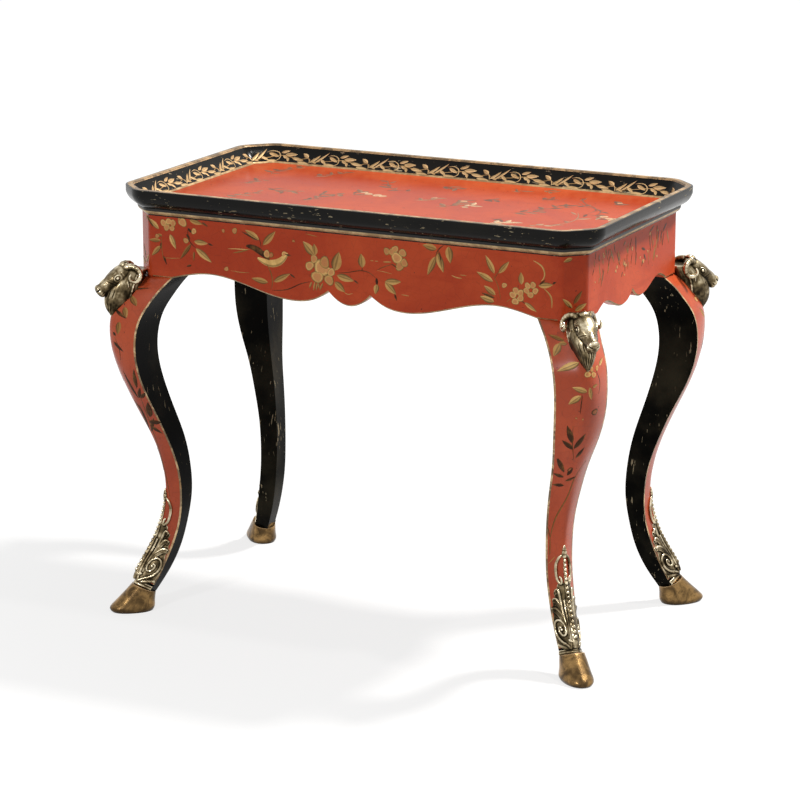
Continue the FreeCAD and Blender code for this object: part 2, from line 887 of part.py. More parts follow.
def hoof_screw_here():
    """A long screw from the sole, through the hoof and up into the ankle."""
    toe, heel = ankle_sizes()
    start = on_diagonal((toe + heel) / 2, 0, hoof_screw_sink)
    head = rod(start, up, hoof_screw_head_diameter, hoof_screw_head_height)
    return joined([head, rod(start, up, hoof_screw_diameter, hoof_screw_length())])


def hoof_screw_hole():
    screw = hoof_screw_here()
    middle = screw.BoundBox.Center
    mouth_foot = Vector(middle.x, middle.y, -overrun)
    mouth = rod(mouth_foot, up, hoof_screw_head_diameter, overrun + hoof_screw_sink)
    return screw.fuse(mouth)


# The pieces of the table

pieces = {}

panel_body = canted_board(apron_inset, frame_top_z, rim_foot_z)
panel_field = canted_board(rim_foot_inset, rim_foot_z, floor_z)
tray_panel = joined([panel_body, panel_field])

pieces.update(round_the_table("rim", rim_profile()))
pieces.update(round_the_table("bead", bead_profile()))

apron_front = front_rail()
apron_right = right_rail()
corner_board = carved(corner_rings(board_profile()))
leg_blank = leg_body_blank().common(above_ankle())
leg_body = joined([to_front_right(leg_blank), post_solid()])
brace = brace_solid()

seat = leg_body.fuse([corner_board, apron_front, apron_right])
mask = ram_head(seat)
mount = to_front_right(foot_mount(leg_blank))
hoof = to_front_right(hoof_solid())

brace_screws = brace_screws_here()
leg_screws = leg_screws_here()
top_screws = top_screws_here()
ram_pin = ram_pin_here()
mount_pins = mount_pins_here()
hoof_screw = hoof_screw_here()

leg_body = leg_body.cut(leg_screws + [ram_pin, hoof_screw] + mount_pins)
brace = brace.cut(brace_screws + leg_screws + top_screws + screw_mouths())
mask = mask.cut(ram_pin)
mount = mount.cut(mount_pins)
hoof = hoof.cut(hoof_screw_hole())

pieces["apron_back"] = apron_front.mirror(Vector(0, 0, 0), Vector(0, 1, 0))
pieces["apron_front"] = apron_front
pieces["apron_left"] = apron_right.mirror(Vector(0, 0, 0), Vector(1, 0, 0))
pieces["apron_right"] = apron_right

corner_pieces = {
    "apron_corner": corner_board,
    "leg": leg_body,
    "corner_brace": brace,
    "ram_head": mask,
    "foot_mount": mount,
    "hoof": hoof,
}
for name, piece in corner_pieces.items():
    for place, placed in at_corners(piece).items():
        pieces[name + "_" + place] = placed

corner_fasteners = {
    "brace_screws": brace_screws,
    "leg_screws": leg_screws,
    "top_screws": top_screws,
    "ram_head_pins": [ram_pin],
    "mount_pins": mount_pins,
    "hoof_screws": [hoof_screw],
}
for name, fasteners in corner_fasteners.items():
    group = []
    for fastener in fasteners:
        group.extend(at_corners(fastener).values())
    pieces[name] = Part.makeCompound(group)

rail_screws = pieces["brace_screws"].Solids
for name in ("apron_front", "apron_back", "apron_left", "apron_right"):
    pieces[name] = pieces[name].cut(rail_screws)
pieces["tray_panel"] = tray_panel.cut(pieces["top_screws"].Solids)

os.makedirs("parts", exist_ok=True)
for name, shape in sorted(pieces.items()):
    fits_check(name, shape)
    shape.exportStep("parts/" + name + ".step")
print(len(pieces), "pieces")
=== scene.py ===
import math

import bpy
import numpy as np
from mathutils import Matrix, Vector
from mathutils.bvhtree import BVHTree


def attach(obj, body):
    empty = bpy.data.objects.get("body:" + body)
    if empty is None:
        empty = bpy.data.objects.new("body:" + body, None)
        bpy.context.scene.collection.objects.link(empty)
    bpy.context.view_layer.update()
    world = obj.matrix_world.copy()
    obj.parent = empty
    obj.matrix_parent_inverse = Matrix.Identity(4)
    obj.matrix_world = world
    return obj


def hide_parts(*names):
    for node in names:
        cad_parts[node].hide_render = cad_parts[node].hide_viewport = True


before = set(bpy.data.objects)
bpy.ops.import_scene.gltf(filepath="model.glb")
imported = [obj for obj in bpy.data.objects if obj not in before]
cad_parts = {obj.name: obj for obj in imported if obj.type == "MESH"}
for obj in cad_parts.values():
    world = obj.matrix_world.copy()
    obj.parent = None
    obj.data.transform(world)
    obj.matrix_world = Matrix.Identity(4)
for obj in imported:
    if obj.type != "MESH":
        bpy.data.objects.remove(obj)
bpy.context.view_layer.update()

# The view and the light
# A long lens looks down on the table from its front right corner. Two lamps stand high on the right, and a
# softer one stands low in front on the left. The room and the floor are white.

camera_place = (2.280, -4.716, 1.730)
camera_turn = 25.96
camera_dip = 14.64
camera_roll = 0.1
lens_length = 145.1
sensor_width = 36
sight_reach = 60
lamp_aim = Vector((0, 0, 0.5))
room_light = 0.26
floor_reach = 14.0
floor_glow_near = 0.77
floor_glow_far = 0.93


def put_in_scene(name, data):
    """An object for a mesh, a curve, a lamp or a lens."""
    made = bpy.data.objects.new(name, data)
    bpy.context.scene.collection.objects.link(made)
    return made


def turned(degrees, axis):
    return Matrix.Rotation(math.radians(degrees), 4, axis)


lens = bpy.data.cameras.new("long_lens")
lens.sensor_width = sensor_width
lens.lens = lens_length
lens.clip_end = sight_reach
camera = put_in_scene("camera", lens)
camera.matrix_world = (Matrix.Translation(camera_place) @ turned(camera_turn, "Z")
                       @ turned(90 - camera_dip, "X") @ turned(camera_roll, "Z"))
bpy.context.scene.camera = camera
bpy.context.scene.view_settings.view_transform = "Standard"


def add_lamp(name, place, size, power, colour):
    light = bpy.data.lights.new(name, "AREA")
    light.shape = "DISK"
    light.size = size
    light.energy = power
    light.color = colour
    lamp = put_in_scene(name, light)
    lamp.location = place
    lamp.rotation_euler = (lamp_aim - lamp.location).to_track_quat("-Z", "Y").to_euler()


add_lamp("high_lamp", (2.0, 1.75, 4.2), 0.5, 225, (1.0, 0.97, 0.93))
add_lamp("window_lamp", (2.1, -0.1, 3.9), 0.25, 25, (1.0, 0.98, 0.95))
add_lamp("front_lamp", (-1.0, -4.6, 2.4), 0.45, 62, (0.98, 0.98, 1.0))


def feed(tree, socket, value):
    """Gives an input a value, an output of another node, or the first output of a node."""
    if isinstance(value, bpy.types.Node):
        value = value.outputs[0]
    if isinstance(value, bpy.types.NodeSocket):
        tree.links.new(value, socket)
    else:
        socket.default_value = value


def add_node(tree, kind, inputs=None, **settings):
    """A node with its settings, and with inputs given by name or number."""
    made = tree.nodes.new(kind)
    for name, value in settings.items():
        setattr(made, name, value)
    for name, value in (inputs or {}).items():
        feed(tree, made.inputs[name], value)
    return made


def number_math(tree, operation, *values):
    return add_node(tree, "ShaderNodeMath", dict(enumerate(values)), operation=operation)


def vector_math(tree, operation, *values):
    return add_node(tree, "ShaderNodeVectorMath", dict(enumerate(values)), operation=operation)


def ranged(tree, value, low, high, first, last, kind="LINEAR"):
    """Turns a value between low and high into one between first and last."""
    inputs = {"Value": value, "From Min": low, "From Max": high, "To Min": first, "To Max": last}
    return add_node(tree, "ShaderNodeMapRange", inputs, interpolation_type=kind)


def seen_white(tree):
    """1 for a ray from the camera, a reflection or glass, which sees the white room."""
    path = add_node(tree, "ShaderNodeLightPath").outputs
    glossy = number_math(tree, "MAXIMUM", path["Is Camera Ray"], path["Is Glossy Ray"])
    return number_math(tree, "MAXIMUM", glossy, path["Is Transmission Ray"])


def bare_mesh(name, points, faces):
    mesh = bpy.data.meshes.new(name)
    mesh.from_pydata(points, [], faces)
    return mesh


world = bpy.data.worlds.new("white_room")
world.use_nodes = True
room = world.node_tree
room.nodes.clear()
dim = add_node(room, "ShaderNodeBackground", {"Color": (0.95, 0.97, 1, 1), "Strength": room_light})
white = add_node(room, "ShaderNodeBackground", {"Color": (1, 1, 1, 1), "Strength": 1.0})
room_mix = add_node(room, "ShaderNodeMixShader", {0: seen_white(room), 1: dim, 2: white})
add_node(room, "ShaderNodeOutputWorld", {0: room_mix})
bpy.context.scene.world = world

corners = [(x * floor_reach, y * floor_reach, 0) for x, y in ((-1, -1), (1, -1), (1, 1), (-1, 1))]
floor_mesh = bare_mesh("floor", corners, [(0, 1, 2, 3)])
floor = put_in_scene("floor", floor_mesh)
floor_paint = bpy.data.materials.new("pale_floor")
floor_paint.use_nodes = True
tree = floor_paint.node_tree
tree.nodes.clear()
plain = add_node(tree, "ShaderNodeBsdfDiffuse", {"Color": (0.50, 0.50, 0.50, 1)})
shade = add_node(tree, "ShaderNodeBsdfDiffuse", {"Color": (0.27, 0.27, 0.27, 1)})
floor_place = add_node(tree, "ShaderNodeTexCoord").outputs["Object"]
floor_way = vector_math(tree, "LENGTH", floor_place).outputs["Value"]
floor_fade = ranged(tree, floor_way, 0.45, 2.2, floor_glow_near, floor_glow_far, "SMOOTHSTEP")
glow = add_node(tree, "ShaderNodeEmission", {"Color": (1, 1, 0.995, 1), "Strength": floor_fade})
both = add_node(tree, "ShaderNodeAddShader", {0: shade, 1: glow})
chosen = add_node(tree, "ShaderNodeMixShader", {0: seen_white(tree), 1: plain, 2: both})
add_node(tree, "ShaderNodeOutputMaterial", {0: chosen})
floor_mesh.materials.append(floor_paint)

# Tray panel
# The red lacquered board that is the floor of the tray. It is a made-up board, rebated at its edge for the
# rim, and rests on the rails. The lacquer is thick, glossy and a little uneven, with fine dark crazing.

floor_z = 701


def new_group(name, kind, inputs, outputs):
    """A node group with named inputs and outputs: the tree, what it is given and what it puts out."""
    tree = bpy.data.node_groups.new(name, kind)
    for label, socket_kind, *value in inputs:
        socket = tree.interface.new_socket(label, in_out="INPUT", socket_type="NodeSocket" + socket_kind)
        if value:
            socket.default_value = value[0]
    for label, socket_kind in outputs:
        tree.interface.new_socket(label, in_out="OUTPUT", socket_type="NodeSocket" + socket_kind)
    return tree, add_node(tree, "NodeGroupInput").outputs, add_node(tree, "NodeGroupOutput").inputs


def mask_of(tree, value, low, high, most=1.0):
    """0 at low, most at high and smooth between them."""
    return ranged(tree, value, low, high, 0.0, most, "SMOOTHSTEP")


def mixed(tree, factor, first, second):
    """Two colours mixed; each is a colour or a node's output."""
    return add_node(tree, "ShaderNodeMix", {0: factor, 6: first, 7: second}, data_type="RGBA").outputs[2]


def noise_at(tree, vector, scale, detail=4.0, roughness=0.55, distortion=0.0):
    inputs = {"Vector": vector, "Scale": scale, "Detail": detail}
    inputs.update({"Roughness": roughness, "Distortion": distortion})
    return add_node(tree, "ShaderNodeTexNoise", inputs)


# Brushed lacquer: slow patches, fine brush strokes, specks and crazing, with its own direction of the brush
brush, given, result = new_group(
    "brushed_lacquer", "ShaderNodeTree",
    [("Vector", "Vector"), ("Stroke", "Vector", (1, 1, 1)), ("Dark", "Color"), ("Bright", "Color"),
     ("Speck", "Color")],
    [("Color", "Color"), ("Roughness", "Float"), ("Height", "Float")],
)
patches = noise_at(brush, given["Vector"], 7.0, 5.0, 0.6, 0.4)
bristles = noise_at(brush, vector_math(brush, "MULTIPLY", given["Vector"], given["Stroke"]), 60.0, 3.0, 0.6)
specks = noise_at(brush, given["Vector"], 150.0, 2.0, 0.5)
crazing = add_node(brush, "ShaderNodeTexVoronoi", {"Vector": given["Vector"], "Scale": 70.0},
                   feature="DISTANCE_TO_EDGE").outputs["Distance"]
base = mixed(brush, mask_of(brush, patches, 0.3, 0.7), given["Dark"], given["Bright"])
stroked = mixed(brush, mask_of(brush, bristles, 0.52, 0.75, 0.55), base, given["Dark"])
specked = mixed(brush, mask_of(brush, specks, 0.70, 0.76, 0.8), stroked, given["Speck"])
crazed = mixed(brush, ranged(brush, crazing, 0.0, 0.025, 0.22, 0.0), specked, given["Speck"])
feed(brush, result["Color"], crazed)
feed(brush, result["Roughness"], ranged(brush, patches, 0.0, 1.0, 0.16, 0.32))
feed(brush, result["Height"], bristles)


def new_material(name):
    """A material, its node tree and the object's own coordinates."""
    material = bpy.data.materials.new(name)
    material.use_nodes = True
    tree = material.node_tree
    return material, tree, add_node(tree, "ShaderNodeTexCoord").outputs["Object"]


def finished(material, looks, height, strength, depth):
    """The material with the looks of its surface, and with a bump."""
    tree = material.node_tree
    bump = add_node(tree, "ShaderNodeBump", {"Height": height, "Strength": strength, "Distance": depth})
    for name, value in {**looks, "Normal": bump}.items():
        feed(tree, tree.nodes["Principled BSDF"].inputs[name], value)
    return material


def red_lacquer(name, stroke, dark, bright, shine=0.13):
    """Red lacquer brushed along one direction."""
    material, tree, place = new_material(name)
    speck = (0.06, 0.012, 0.008, 1)
    inputs = {"Vector": place, "Stroke": stroke, "Dark": dark, "Bright": bright, "Speck": speck}
    lacquer = add_node(tree, "ShaderNodeGroup", inputs, node_tree=brush).outputs
    looks = {"Base Color": lacquer["Color"], "Roughness": lacquer["Roughness"], "Specular IOR Level": shine}
    return finished(material, looks, lacquer["Height"], 0.12, 0.0006)


def use_material(node_name, material):
    """Gives a solid that stays as it is its finish."""
    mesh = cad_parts[node_name].data
    mesh.materials.clear()
    mesh.materials.append(material)


tray_red = red_lacquer("tray_red", (0.15, 1, 1), (0.44, 0.050, 0.013, 1), (0.55, 0.082, 0.022, 1), 0.03)
use_material("tray_panel", tray_red)

# Rim
# The raised rim is a moulded wooden gallery, mitred from four runs and four canted corners and glued into
# the panel's rebate. It is lacquered black, worn on its edges, with a gilt line on the lip and at the floor.

metre = 1000
rim_length = 854
rim_width = 494
corner_cant = 47
corner_round = 40
rim_top = 730
rim_lip = 12
rim_foot_inset = 35
rim_undercut = 19
rim_edge_height = 11
rim_seat_rebate = 3
rim_swell = 3.5
rim_hollow = 2.5
rim_edge_round = 1.0
rim_dip = 0.3
rim_foot_z = floor_z - rim_seat_rebate
turn_steps = 10
arc_steps = 10
fleck_scale = 230.0
corner_places = ("front_right", "front_left", "back_right", "back_left")

turn_setback = corner_round * math.tan(math.pi / 8)
run_x = rim_length / 2 - corner_cant - turn_setback
run_y = rim_width / 2 - corner_cant - turn_setback
cant_run = corner_cant * math.sqrt(2) - 2 * turn_setback


def corner_path(inset):
    """Points round the back right corner, counterclockwise, in from the rim's outer edge."""
    first_centre = np.array([rim_length / 2 - corner_round, run_y])
    second_centre = first_centre + np.array([-1, 1]) / math.sqrt(2) * cant_run
    points = []
    for start, centre in ((0, first_centre), (45, second_centre)):
        for step in range(turn_steps + 1):
            angle = math.radians(start + 45 * step / turn_steps)
            points.append(centre + (corner_round - inset) * np.array([math.cos(angle), math.sin(angle)]))
    return np.array(points)


def path_round_table(inset):
    """Points counterclockwise round the whole table."""
    quarter = corner_path(inset)
    back = quarter[::-1]
    return np.concatenate([quarter, back * [-1, 1], quarter * [-1, -1], back * [1, -1]])


def arc_points(start, end, swell, steps):
    """A shallow arc from start to end that swells to the left of its way by a given height."""
    start, end = np.array(start, float), np.array(end, float)
    across = np.array([-(end - start)[1], (end - start)[0]]) / np.linalg.norm(end - start)
    shares = np.linspace(0, 1, steps + 1)[:, None]
    return start + (end - start) * shares + across * swell * 4 * shares * (1 - shares)


def closed_curve(name, points):
    """A flat closed curve through points in millimetres."""
    curve = bpy.data.curves.new(name, "CURVE")
    curve.dimensions = "3D"
    spline = curve.splines.new("POLY")
    spline.points.add(len(points) - 1)
    for end, (x, y) in zip(spline.points, points):
        end.co = (x / metre, y / metre, 0, 1)
    spline.use_cyclic_u = True
    return put_in_scene(name, curve)


def geometry_group(name, inputs):
    """A geometry tree that makes one geometry from another."""
    geometry = [("Geometry", "Geometry")]
    return new_group(name, "GeometryNodeTree", geometry + inputs, geometry)


def grown_mesh(name, carrier, tree, values):
    """The plain mesh that a geometry tree makes on a carrier, which is removed."""
    modifier = carrier.modifiers.new(name, "NODES")
    modifier.node_group = tree
    for item in tree.interface.items_tree:
        if item.in_out == "INPUT" and item.name in values:
            modifier[item.identifier] = values[item.name]
    depsgraph = bpy.context.evaluated_depsgraph_get()
    mesh = bpy.data.meshes.new_from_object(carrier.evaluated_get(depsgraph))
    mesh.name = name
    bpy.data.objects.remove(carrier)
    return mesh


# A moulding: its profile swept along a path
moulding, given, result = geometry_group("moulding", [("Profile", "Object"), ("Finish", "Material")])
upright = add_node(moulding, "GeometryNodeSetCurveNormal", {"Curve": given["Geometry"]}, mode="Z_UP")
section = add_node(moulding, "GeometryNodeObjectInfo", {"Object": given["Profile"]}).outputs["Geometry"]
swept = add_node(moulding, "GeometryNodeCurveToMesh", {"Curve": upright, "Profile Curve": section})
solid = add_node(moulding, "GeometryNodeRealizeInstances", {"Geometry": swept})
dressed = add_node(moulding, "GeometryNodeSetMaterial", {"Geometry": solid, "Material": given["Finish"]})
feed(moulding, result["Geometry"], dressed)


def smooth_by_angle(mesh, degrees):
    mesh.polygons.foreach_set("use_smooth", [True] * len(mesh.polygons))
    mesh.set_sharp_from_angle(angle=math.radians(degrees))


def show_piece(name, mesh, replaced=()):
    """Puts a finished mesh in the scene as a piece of the table."""
    piece = put_in_scene(name, mesh)
    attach(piece, "root")
    if replaced:
        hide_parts(*replaced)


def show_moulding(name, profile, material, smooth=60, replaced=()):
    """A moulding that goes all round the table. The profile gives how far out of the path, and how high."""
    section = closed_curve("section", [(x, -z) for x, z in profile])
    path = closed_curve("path", path_round_table(0))
    mesh = grown_mesh(name, path, moulding, {"Profile": section, "Finish": material})
    bpy.data.objects.remove(section)
    smooth_by_angle(mesh, smooth)
    show_piece(name, mesh, replaced)


def names_round_table(name):
    runs = [name + "_" + side for side in ("front", "back", "left", "right")]
    return runs + [name + "_corner_" + place for place in corner_places]


lip_x = -rim_lip
foot_x = -rim_foot_inset
rim_face_z = rim_top - rim_dip
outside = arc_points((0, rim_top - rim_edge_height), (-rim_undercut, rim_foot_z), rim_swell, arc_steps)
inside = arc_points((foot_x, floor_z), (lip_x, rim_top - rim_edge_round), -rim_hollow, arc_steps)
rim_profile = [(-rim_edge_round, rim_face_z), (-rim_edge_round * 0.3, rim_top - rim_edge_round * 0.5),
               (0, rim_top - rim_edge_round), *outside, (foot_x, rim_foot_z), *inside,
               (lip_x - rim_edge_round * 0.1, rim_top - rim_edge_round * 0.4),
               (lip_x + rim_edge_round, rim_face_z)]

# Worn flecks: long chips through the black to a pale ground, more of them in some places
flecks, given, result = new_group(
    "worn_flecks", "ShaderNodeTree",
    [("Vector", "Vector"), ("Stretch", "Vector", (1, 1, 1)), ("Scale", "Float", 90.0),
     ("Amount", "Float", 0.6)],
    [("Mask", "Float"), ("Tone", "Float")],
)
fleck_place = vector_math(flecks, "MULTIPLY", given["Vector"], given["Stretch"])
chip = noise_at(flecks, fleck_place, given["Scale"], 3.0, 0.5)
where = noise_at(flecks, given["Vector"], 17.0, 2.0)
gathered = number_math(flecks, "MULTIPLY_ADD", where, 0.35, chip)
over = number_math(flecks, "SUBTRACT", gathered, given["Amount"])
feed(flecks, result["Mask"], mask_of(flecks, over, 0.0, 0.035))
feed(flecks, result["Tone"], where)


def black_lacquer(name, stretch, amount, shine=0.13, clouded=(0.0075, 0.0062, 0.0040, 1)):
    """Black lacquer with worn chips that run along one direction."""
    material, tree, place = new_material(name)
    inputs = {"Vector": place, "Stretch": stretch, "Amount": amount, "Scale": fleck_scale}
    worn = add_node(tree, "ShaderNodeGroup", inputs, node_tree=flecks).outputs
    cloud = mask_of(tree, noise_at(tree, place, 9.0, 5.0, 0.6), 0.42, 0.75)
    ground = mixed(tree, cloud, (0.0022, 0.0020, 0.0014, 1), clouded)
    tone = mask_of(tree, worn["Tone"], 0.35, 0.65)
    chips = mixed(tree, tone, (0.07, 0.045, 0.022, 1), (0.36, 0.30, 0.19, 1))
    looks = {"Base Color": mixed(tree, worn["Mask"], ground, chips), "Specular IOR Level": shine,
             "Roughness": ranged(tree, worn["Mask"], 0.0, 1.0, 0.20, 0.50)}
    return finished(material, looks, noise_at(tree, place, 45.0, 4.0), 0.15, 0.001)


def gilt_line(name, bright, dull, top=None, breaks=0.0):
    """A painted gilt line, rubbed thin in places. Where it breaks, the black shows. Above its top it turns
    black, which the bead uses as painted shade under the rim.
    """
    material, tree, place = new_material(name)
    rubbed = mask_of(tree, noise_at(tree, place, 55.0, 4.0, 0.65), 0.38, 0.62)
    fine = mask_of(tree, noise_at(tree, place, 240.0, 3.0, 0.6), 0.30, 0.75)
    colour = mixed(tree, number_math(tree, "MULTIPLY", fine, 0.5), mixed(tree, rubbed, bright, dull), dull)
    black = (0.004, 0.0035, 0.0025, 1)
    if breaks:
        gaps = noise_at(tree, place, 38.0, 5.0, 0.7)
        colour = mixed(tree, mask_of(tree, gaps, 0.46, 0.54, breaks), colour, black)
    # Painted shade: above the given top the line turns black, for the shade under the rim's overhang.
    if top:
        height = add_node(tree, "ShaderNodeSeparateXYZ", {"Vector": place}).outputs["Z"]
        colour = mixed(tree, mask_of(tree, height, (top - 0.8) / metre, top / metre), colour, black)
    looks = {"Base Color": colour, "Metallic": 0.35, "Roughness": 0.42}
    return finished(material, looks, fine, 0.2, 0.0004)


rim_black = black_lacquer("rim_black", (0.35, 0.35, 1.4), 0.84)
gilt = gilt_line("gilt_line", (0.62, 0.42, 0.20, 1), (0.30, 0.18, 0.075, 1))
show_moulding("rim", rim_profile, rim_black, 30, names_round_table("rim"))

line_lift = 0.25
floor_line_width = 3.2
lip_line_width = 8.6
foot_rise = floor_line_width * 0.8
line_start = foot_x - floor_line_width * 0.35
line_end = foot_x + foot_rise * 0.8
floor_line = [(line_start, floor_z - line_lift), (line_start, floor_z + line_lift),
              (foot_x + 0.2, floor_z + line_lift * 2),
              (line_end - line_lift, floor_z + foot_rise + line_lift),
              (line_end + 1, floor_z + foot_rise - 1)]
show_moulding("gilt_line_floor", floor_line[::-1], gilt)
lip_line = [(lip_x + lip_line_width, rim_top - line_lift * 2), (lip_x + lip_line_width, rim_top),
            (lip_x + rim_edge_round * 0.8, rim_top), (lip_x - rim_edge_round * 0.4, rim_top - rim_edge_round),
            (lip_x - rim_edge_round * 1.2, rim_top - rim_edge_round * 2.4),
            (lip_x + rim_edge_round, rim_top - rim_edge_round * 2.4)]
lip_gilt = gilt_line("lip_gilt", (0.62, 0.41, 0.20, 1), (0.42, 0.26, 0.12, 1), breaks=0.6)
show_moulding("gilt_line_lip", lip_line[::-1], lip_gilt)

# Bead
# A small ogee-like bead is planted under the rim, where the rim's foot meets the rails. Its gilding is rubbed
# in places. Its top, under the rim's overhang, and a strip at its foot are black: painted shade.

apron_inset = 27
bead_projection = 8
bead_height = 12
bead_swell = 2.6
bead_shade_strip_height = 2.2
bead_gilt_height = 7.4
bead_ease = 0.6
bead_sink = 2
shade_strip_sink = 1
shade_strip_drop = 1.4
bead_foot_z = rim_foot_z - bead_height
gilt_top_z = bead_foot_z + bead_gilt_height
shade_strip_top_z = bead_foot_z + bead_shade_strip_height
shade_strip_foot_z = bead_foot_z - shade_strip_drop
rail_x = -apron_inset
bead_x = rail_x + bead_projection
bead_round = arc_points((bead_x, rim_foot_z - bead_ease), (rail_x, bead_foot_z), bead_swell, 12)
bead_profile = [(rail_x - bead_sink, rim_foot_z), (bead_x - bead_ease, rim_foot_z), *bead_round,
                (rail_x - bead_sink, bead_foot_z)]
# Above gilt_top_z the bead is painted black: painted shade under the rim's overhang.
bead_gilt = gilt_line("bead_gilt", (0.66, 0.47, 0.24, 1), (0.34, 0.22, 0.10, 1), gilt_top_z)
show_moulding("bead", bead_profile, bead_gilt, 30, names_round_table("bead"))
# A black strip along the bead's foot and just below it: painted shade in the crease where the bead meets the
# rail.
shade_strip = [(rail_x - shade_strip_sink, shade_strip_foot_z), (rail_x - shade_strip_sink, shade_strip_top_z),
             (rail_x + 2.2, shade_strip_top_z), (rail_x + 0.6, bead_foot_z - 0.4), (rail_x + 0.3, shade_strip_foot_z)]
show_moulding("bead_dark_line", shade_strip, rim_black)

# Gilt vine
# A running vine in gold size and leaf winds round the inside of the gallery, its leaves shaded by hand. The
# same unit comes back all round the tray. Gilding stands a little proud of the black ground.

vine_unit_length = 115
vine_height_share = 0.92
paint_rise = 0.35
paint_sink = 0.06
plumpness = 1.35
line_steps = 6
vine_leaves = [
    (-20, 8, 4, 32, 3.6, 0.85), (-24, 12, -12, 25, 4, 0.75), (-10, 17, 3, 7, 5, 0.90),
    (-25, 12, -16, 6, 4, 0.70), (6, 23, 24, 14, 6, 0.95), (-2, 6, 20, 6, 5, 0.95), (26, 24, 42, 30, 5, 0.80),
    (35, 21, 58, 23, 7, 0.90), (31, 19, 42, 12, 5.5, 0.88), (41, 15, 44, 5, 4.5, 0.85),
    (49, 15, 73, 11, 6, 0.92), (61, 7, 84, 5, 5, 0.85), (81, 18, 69, 26, 7, 0.80), (86, 8, 99, 20, 5, 0.75),
]
vine_stems = [
    ([(-24, 7), (-8, 12), (6, 14), (26, 18), (48, 16), (66, 13), (82, 16), (90, 9)], 1.4, 0.60),
    ([(3, 25), (14, 27), (24, 21), (25, 11), (12, 3)], 1.5, 0.85),
    ([(81, 18), (84, 12), (85, 6)], 1.4, 0.75),
]


def new_mesh(name, points, faces, materials, face_materials=None, smooth=30):
    """A mesh from points in millimetres."""
    mesh = bare_mesh(name, np.asarray(points, float) / metre, faces)
    for material in materials:
        mesh.materials.append(material)
    if face_materials is not None:
        mesh.polygons.foreach_set("material_index", face_materials)
    mesh.update()
    smooth_by_angle(mesh, smooth)
    return mesh


def smooth_curve(knots, values):
    """A smooth curve through values at knots, as a function of the place along it."""
    knots, values = np.array(knots, float), np.array(values, float)
    count = len(knots)
    steps = np.diff(knots)
    system, right = np.zeros((count, count)), np.zeros((count,) + values.shape[1:])
    system[0, 0] = system[-1, -1] = 1
    for row in range(1, count - 1):
        system[row, row - 1:row + 2] = steps[row - 1], 2 * (steps[row - 1] + steps[row]), steps[row]
        slopes = np.diff(values[row - 1:row + 2], axis=0)
        right[row] = 6 * (slopes[1] / steps[row] - slopes[0] / steps[row - 1])
    bends = np.linalg.solve(system, right)

    def at(place):
        place = np.clip(np.asarray(place, float), knots[0], knots[-1])
        index = np.clip(np.searchsorted(knots, place) - 1, 0, count - 2)
        step, low, high = steps[index], place - knots[index], knots[index + 1] - place
        shape = low.shape + (1,) * (values.ndim - 1)
        step, low, high = step.reshape(shape), low.reshape(shape), high.reshape(shape)
        curved = (bends[index] * high ** 3 + bends[index + 1] * low ** 3) / (6 * step)
        flat = (values[index] / step - bends[index] * step / 6) * high
        return curved + flat + (values[index + 1] / step - bends[index + 1] * step / 6) * low

    return at


def path_through(points, count):
    """A smooth path through a few points."""
    points = np.asarray(points, float)
    lengths = np.concatenate([[0], np.cumsum(np.linalg.norm(np.diff(points, axis=0), axis=1))])
    return smooth_curve(lengths, points)(np.linspace(0, lengths[-1], count))


def mark_points(mesh, label, values, kind="FLOAT", field="value"):
    """Gives each point of a mesh a value under a label."""
    marks = mesh.attributes.new(label, kind, "POINT")
    marks.data.foreach_set(field, np.asarray(values, np.float32).ravel())


def read_values(items, field, width=1, kind=np.float32):
    """One field of many items as an array."""
    flat = np.empty(len(items) * width, kind)
    items.foreach_get(field, flat)
    return flat if width == 1 else flat.reshape(-1, width)


def joined(parts):
    """Parts in one, each with its points, its faces and values that go with the points."""
    faces, first = [], 0
    for points, part_faces, *others in parts:
        faces += [tuple(index + first for index in face) for face in part_faces]
        first += len(points)
    columns = list(zip(*parts))
    return [np.concatenate(columns[0]), faces] + [np.concatenate(column) for column in columns[2:]]


def strip_faces(rows, columns):
    """Faces of an open sheet of points in rows."""
    corners = [row * columns + column for row in range(rows - 1) for column in range(columns - 1)]
    return [(corner, corner + columns, corner + columns + 1, corner + 1) for corner in corners]


def marked_stroke(name, points, faces, across):
    mesh = bare_mesh(name, points, faces)
    mark_points(mesh, "across", across)
    return put_in_scene(name, mesh)


def unit_leaf():
    """A brush stroke from 0 to 1, widest before its middle, raised along its vein."""
    rows, columns = 9, 5
    shares, across = np.linspace(0, 1, rows), np.linspace(-1, 1, columns)
    breadths = np.sin(math.pi * shares ** 0.8) ** 0.9 * 0.5
    points = [(x, breadth * side, 1 - side ** 2 * (1 + paint_sink / paint_rise))
              for x, breadth in zip(shares, breadths) for side in across]
    return marked_stroke("unit_leaf", points, strip_faces(rows, columns), np.tile(across, rows))


def unit_petal():
    """A round petal with a radius of 1, marked for the blush in its middle and for the shade at its rim."""
    sides = 14
    edge_height = -paint_sink / paint_rise
    rings = [(0.42, 0.95, -2.0), (0.74, 0.80, -0.6), (0.96, 0.50, 0.9), (1.0, edge_height, 1.0)]
    points, marks, faces = [(0, 0, 1.0)], [-2.0], []
    for ring, height, mark in rings:
        for side in range(sides):
            angle = 2 * math.pi * side / sides
            reach = ring * (1 + 0.10 * math.cos(2 * angle) + 0.07 * math.cos(3 * angle + 1))
            points.append((reach * math.cos(angle), reach * math.sin(angle), height))
            marks.append(mark)
    for side in range(sides):
        after = (side + 1) % sides
        faces.append((0, 1 + side, 1 + after))
        for first in range(1, 1 + sides * (len(rings) - 1), sides):
            faces.append((first + side, first + sides + side, first + sides + after, first + after))
    return marked_stroke("unit_petal", points, faces, marks)


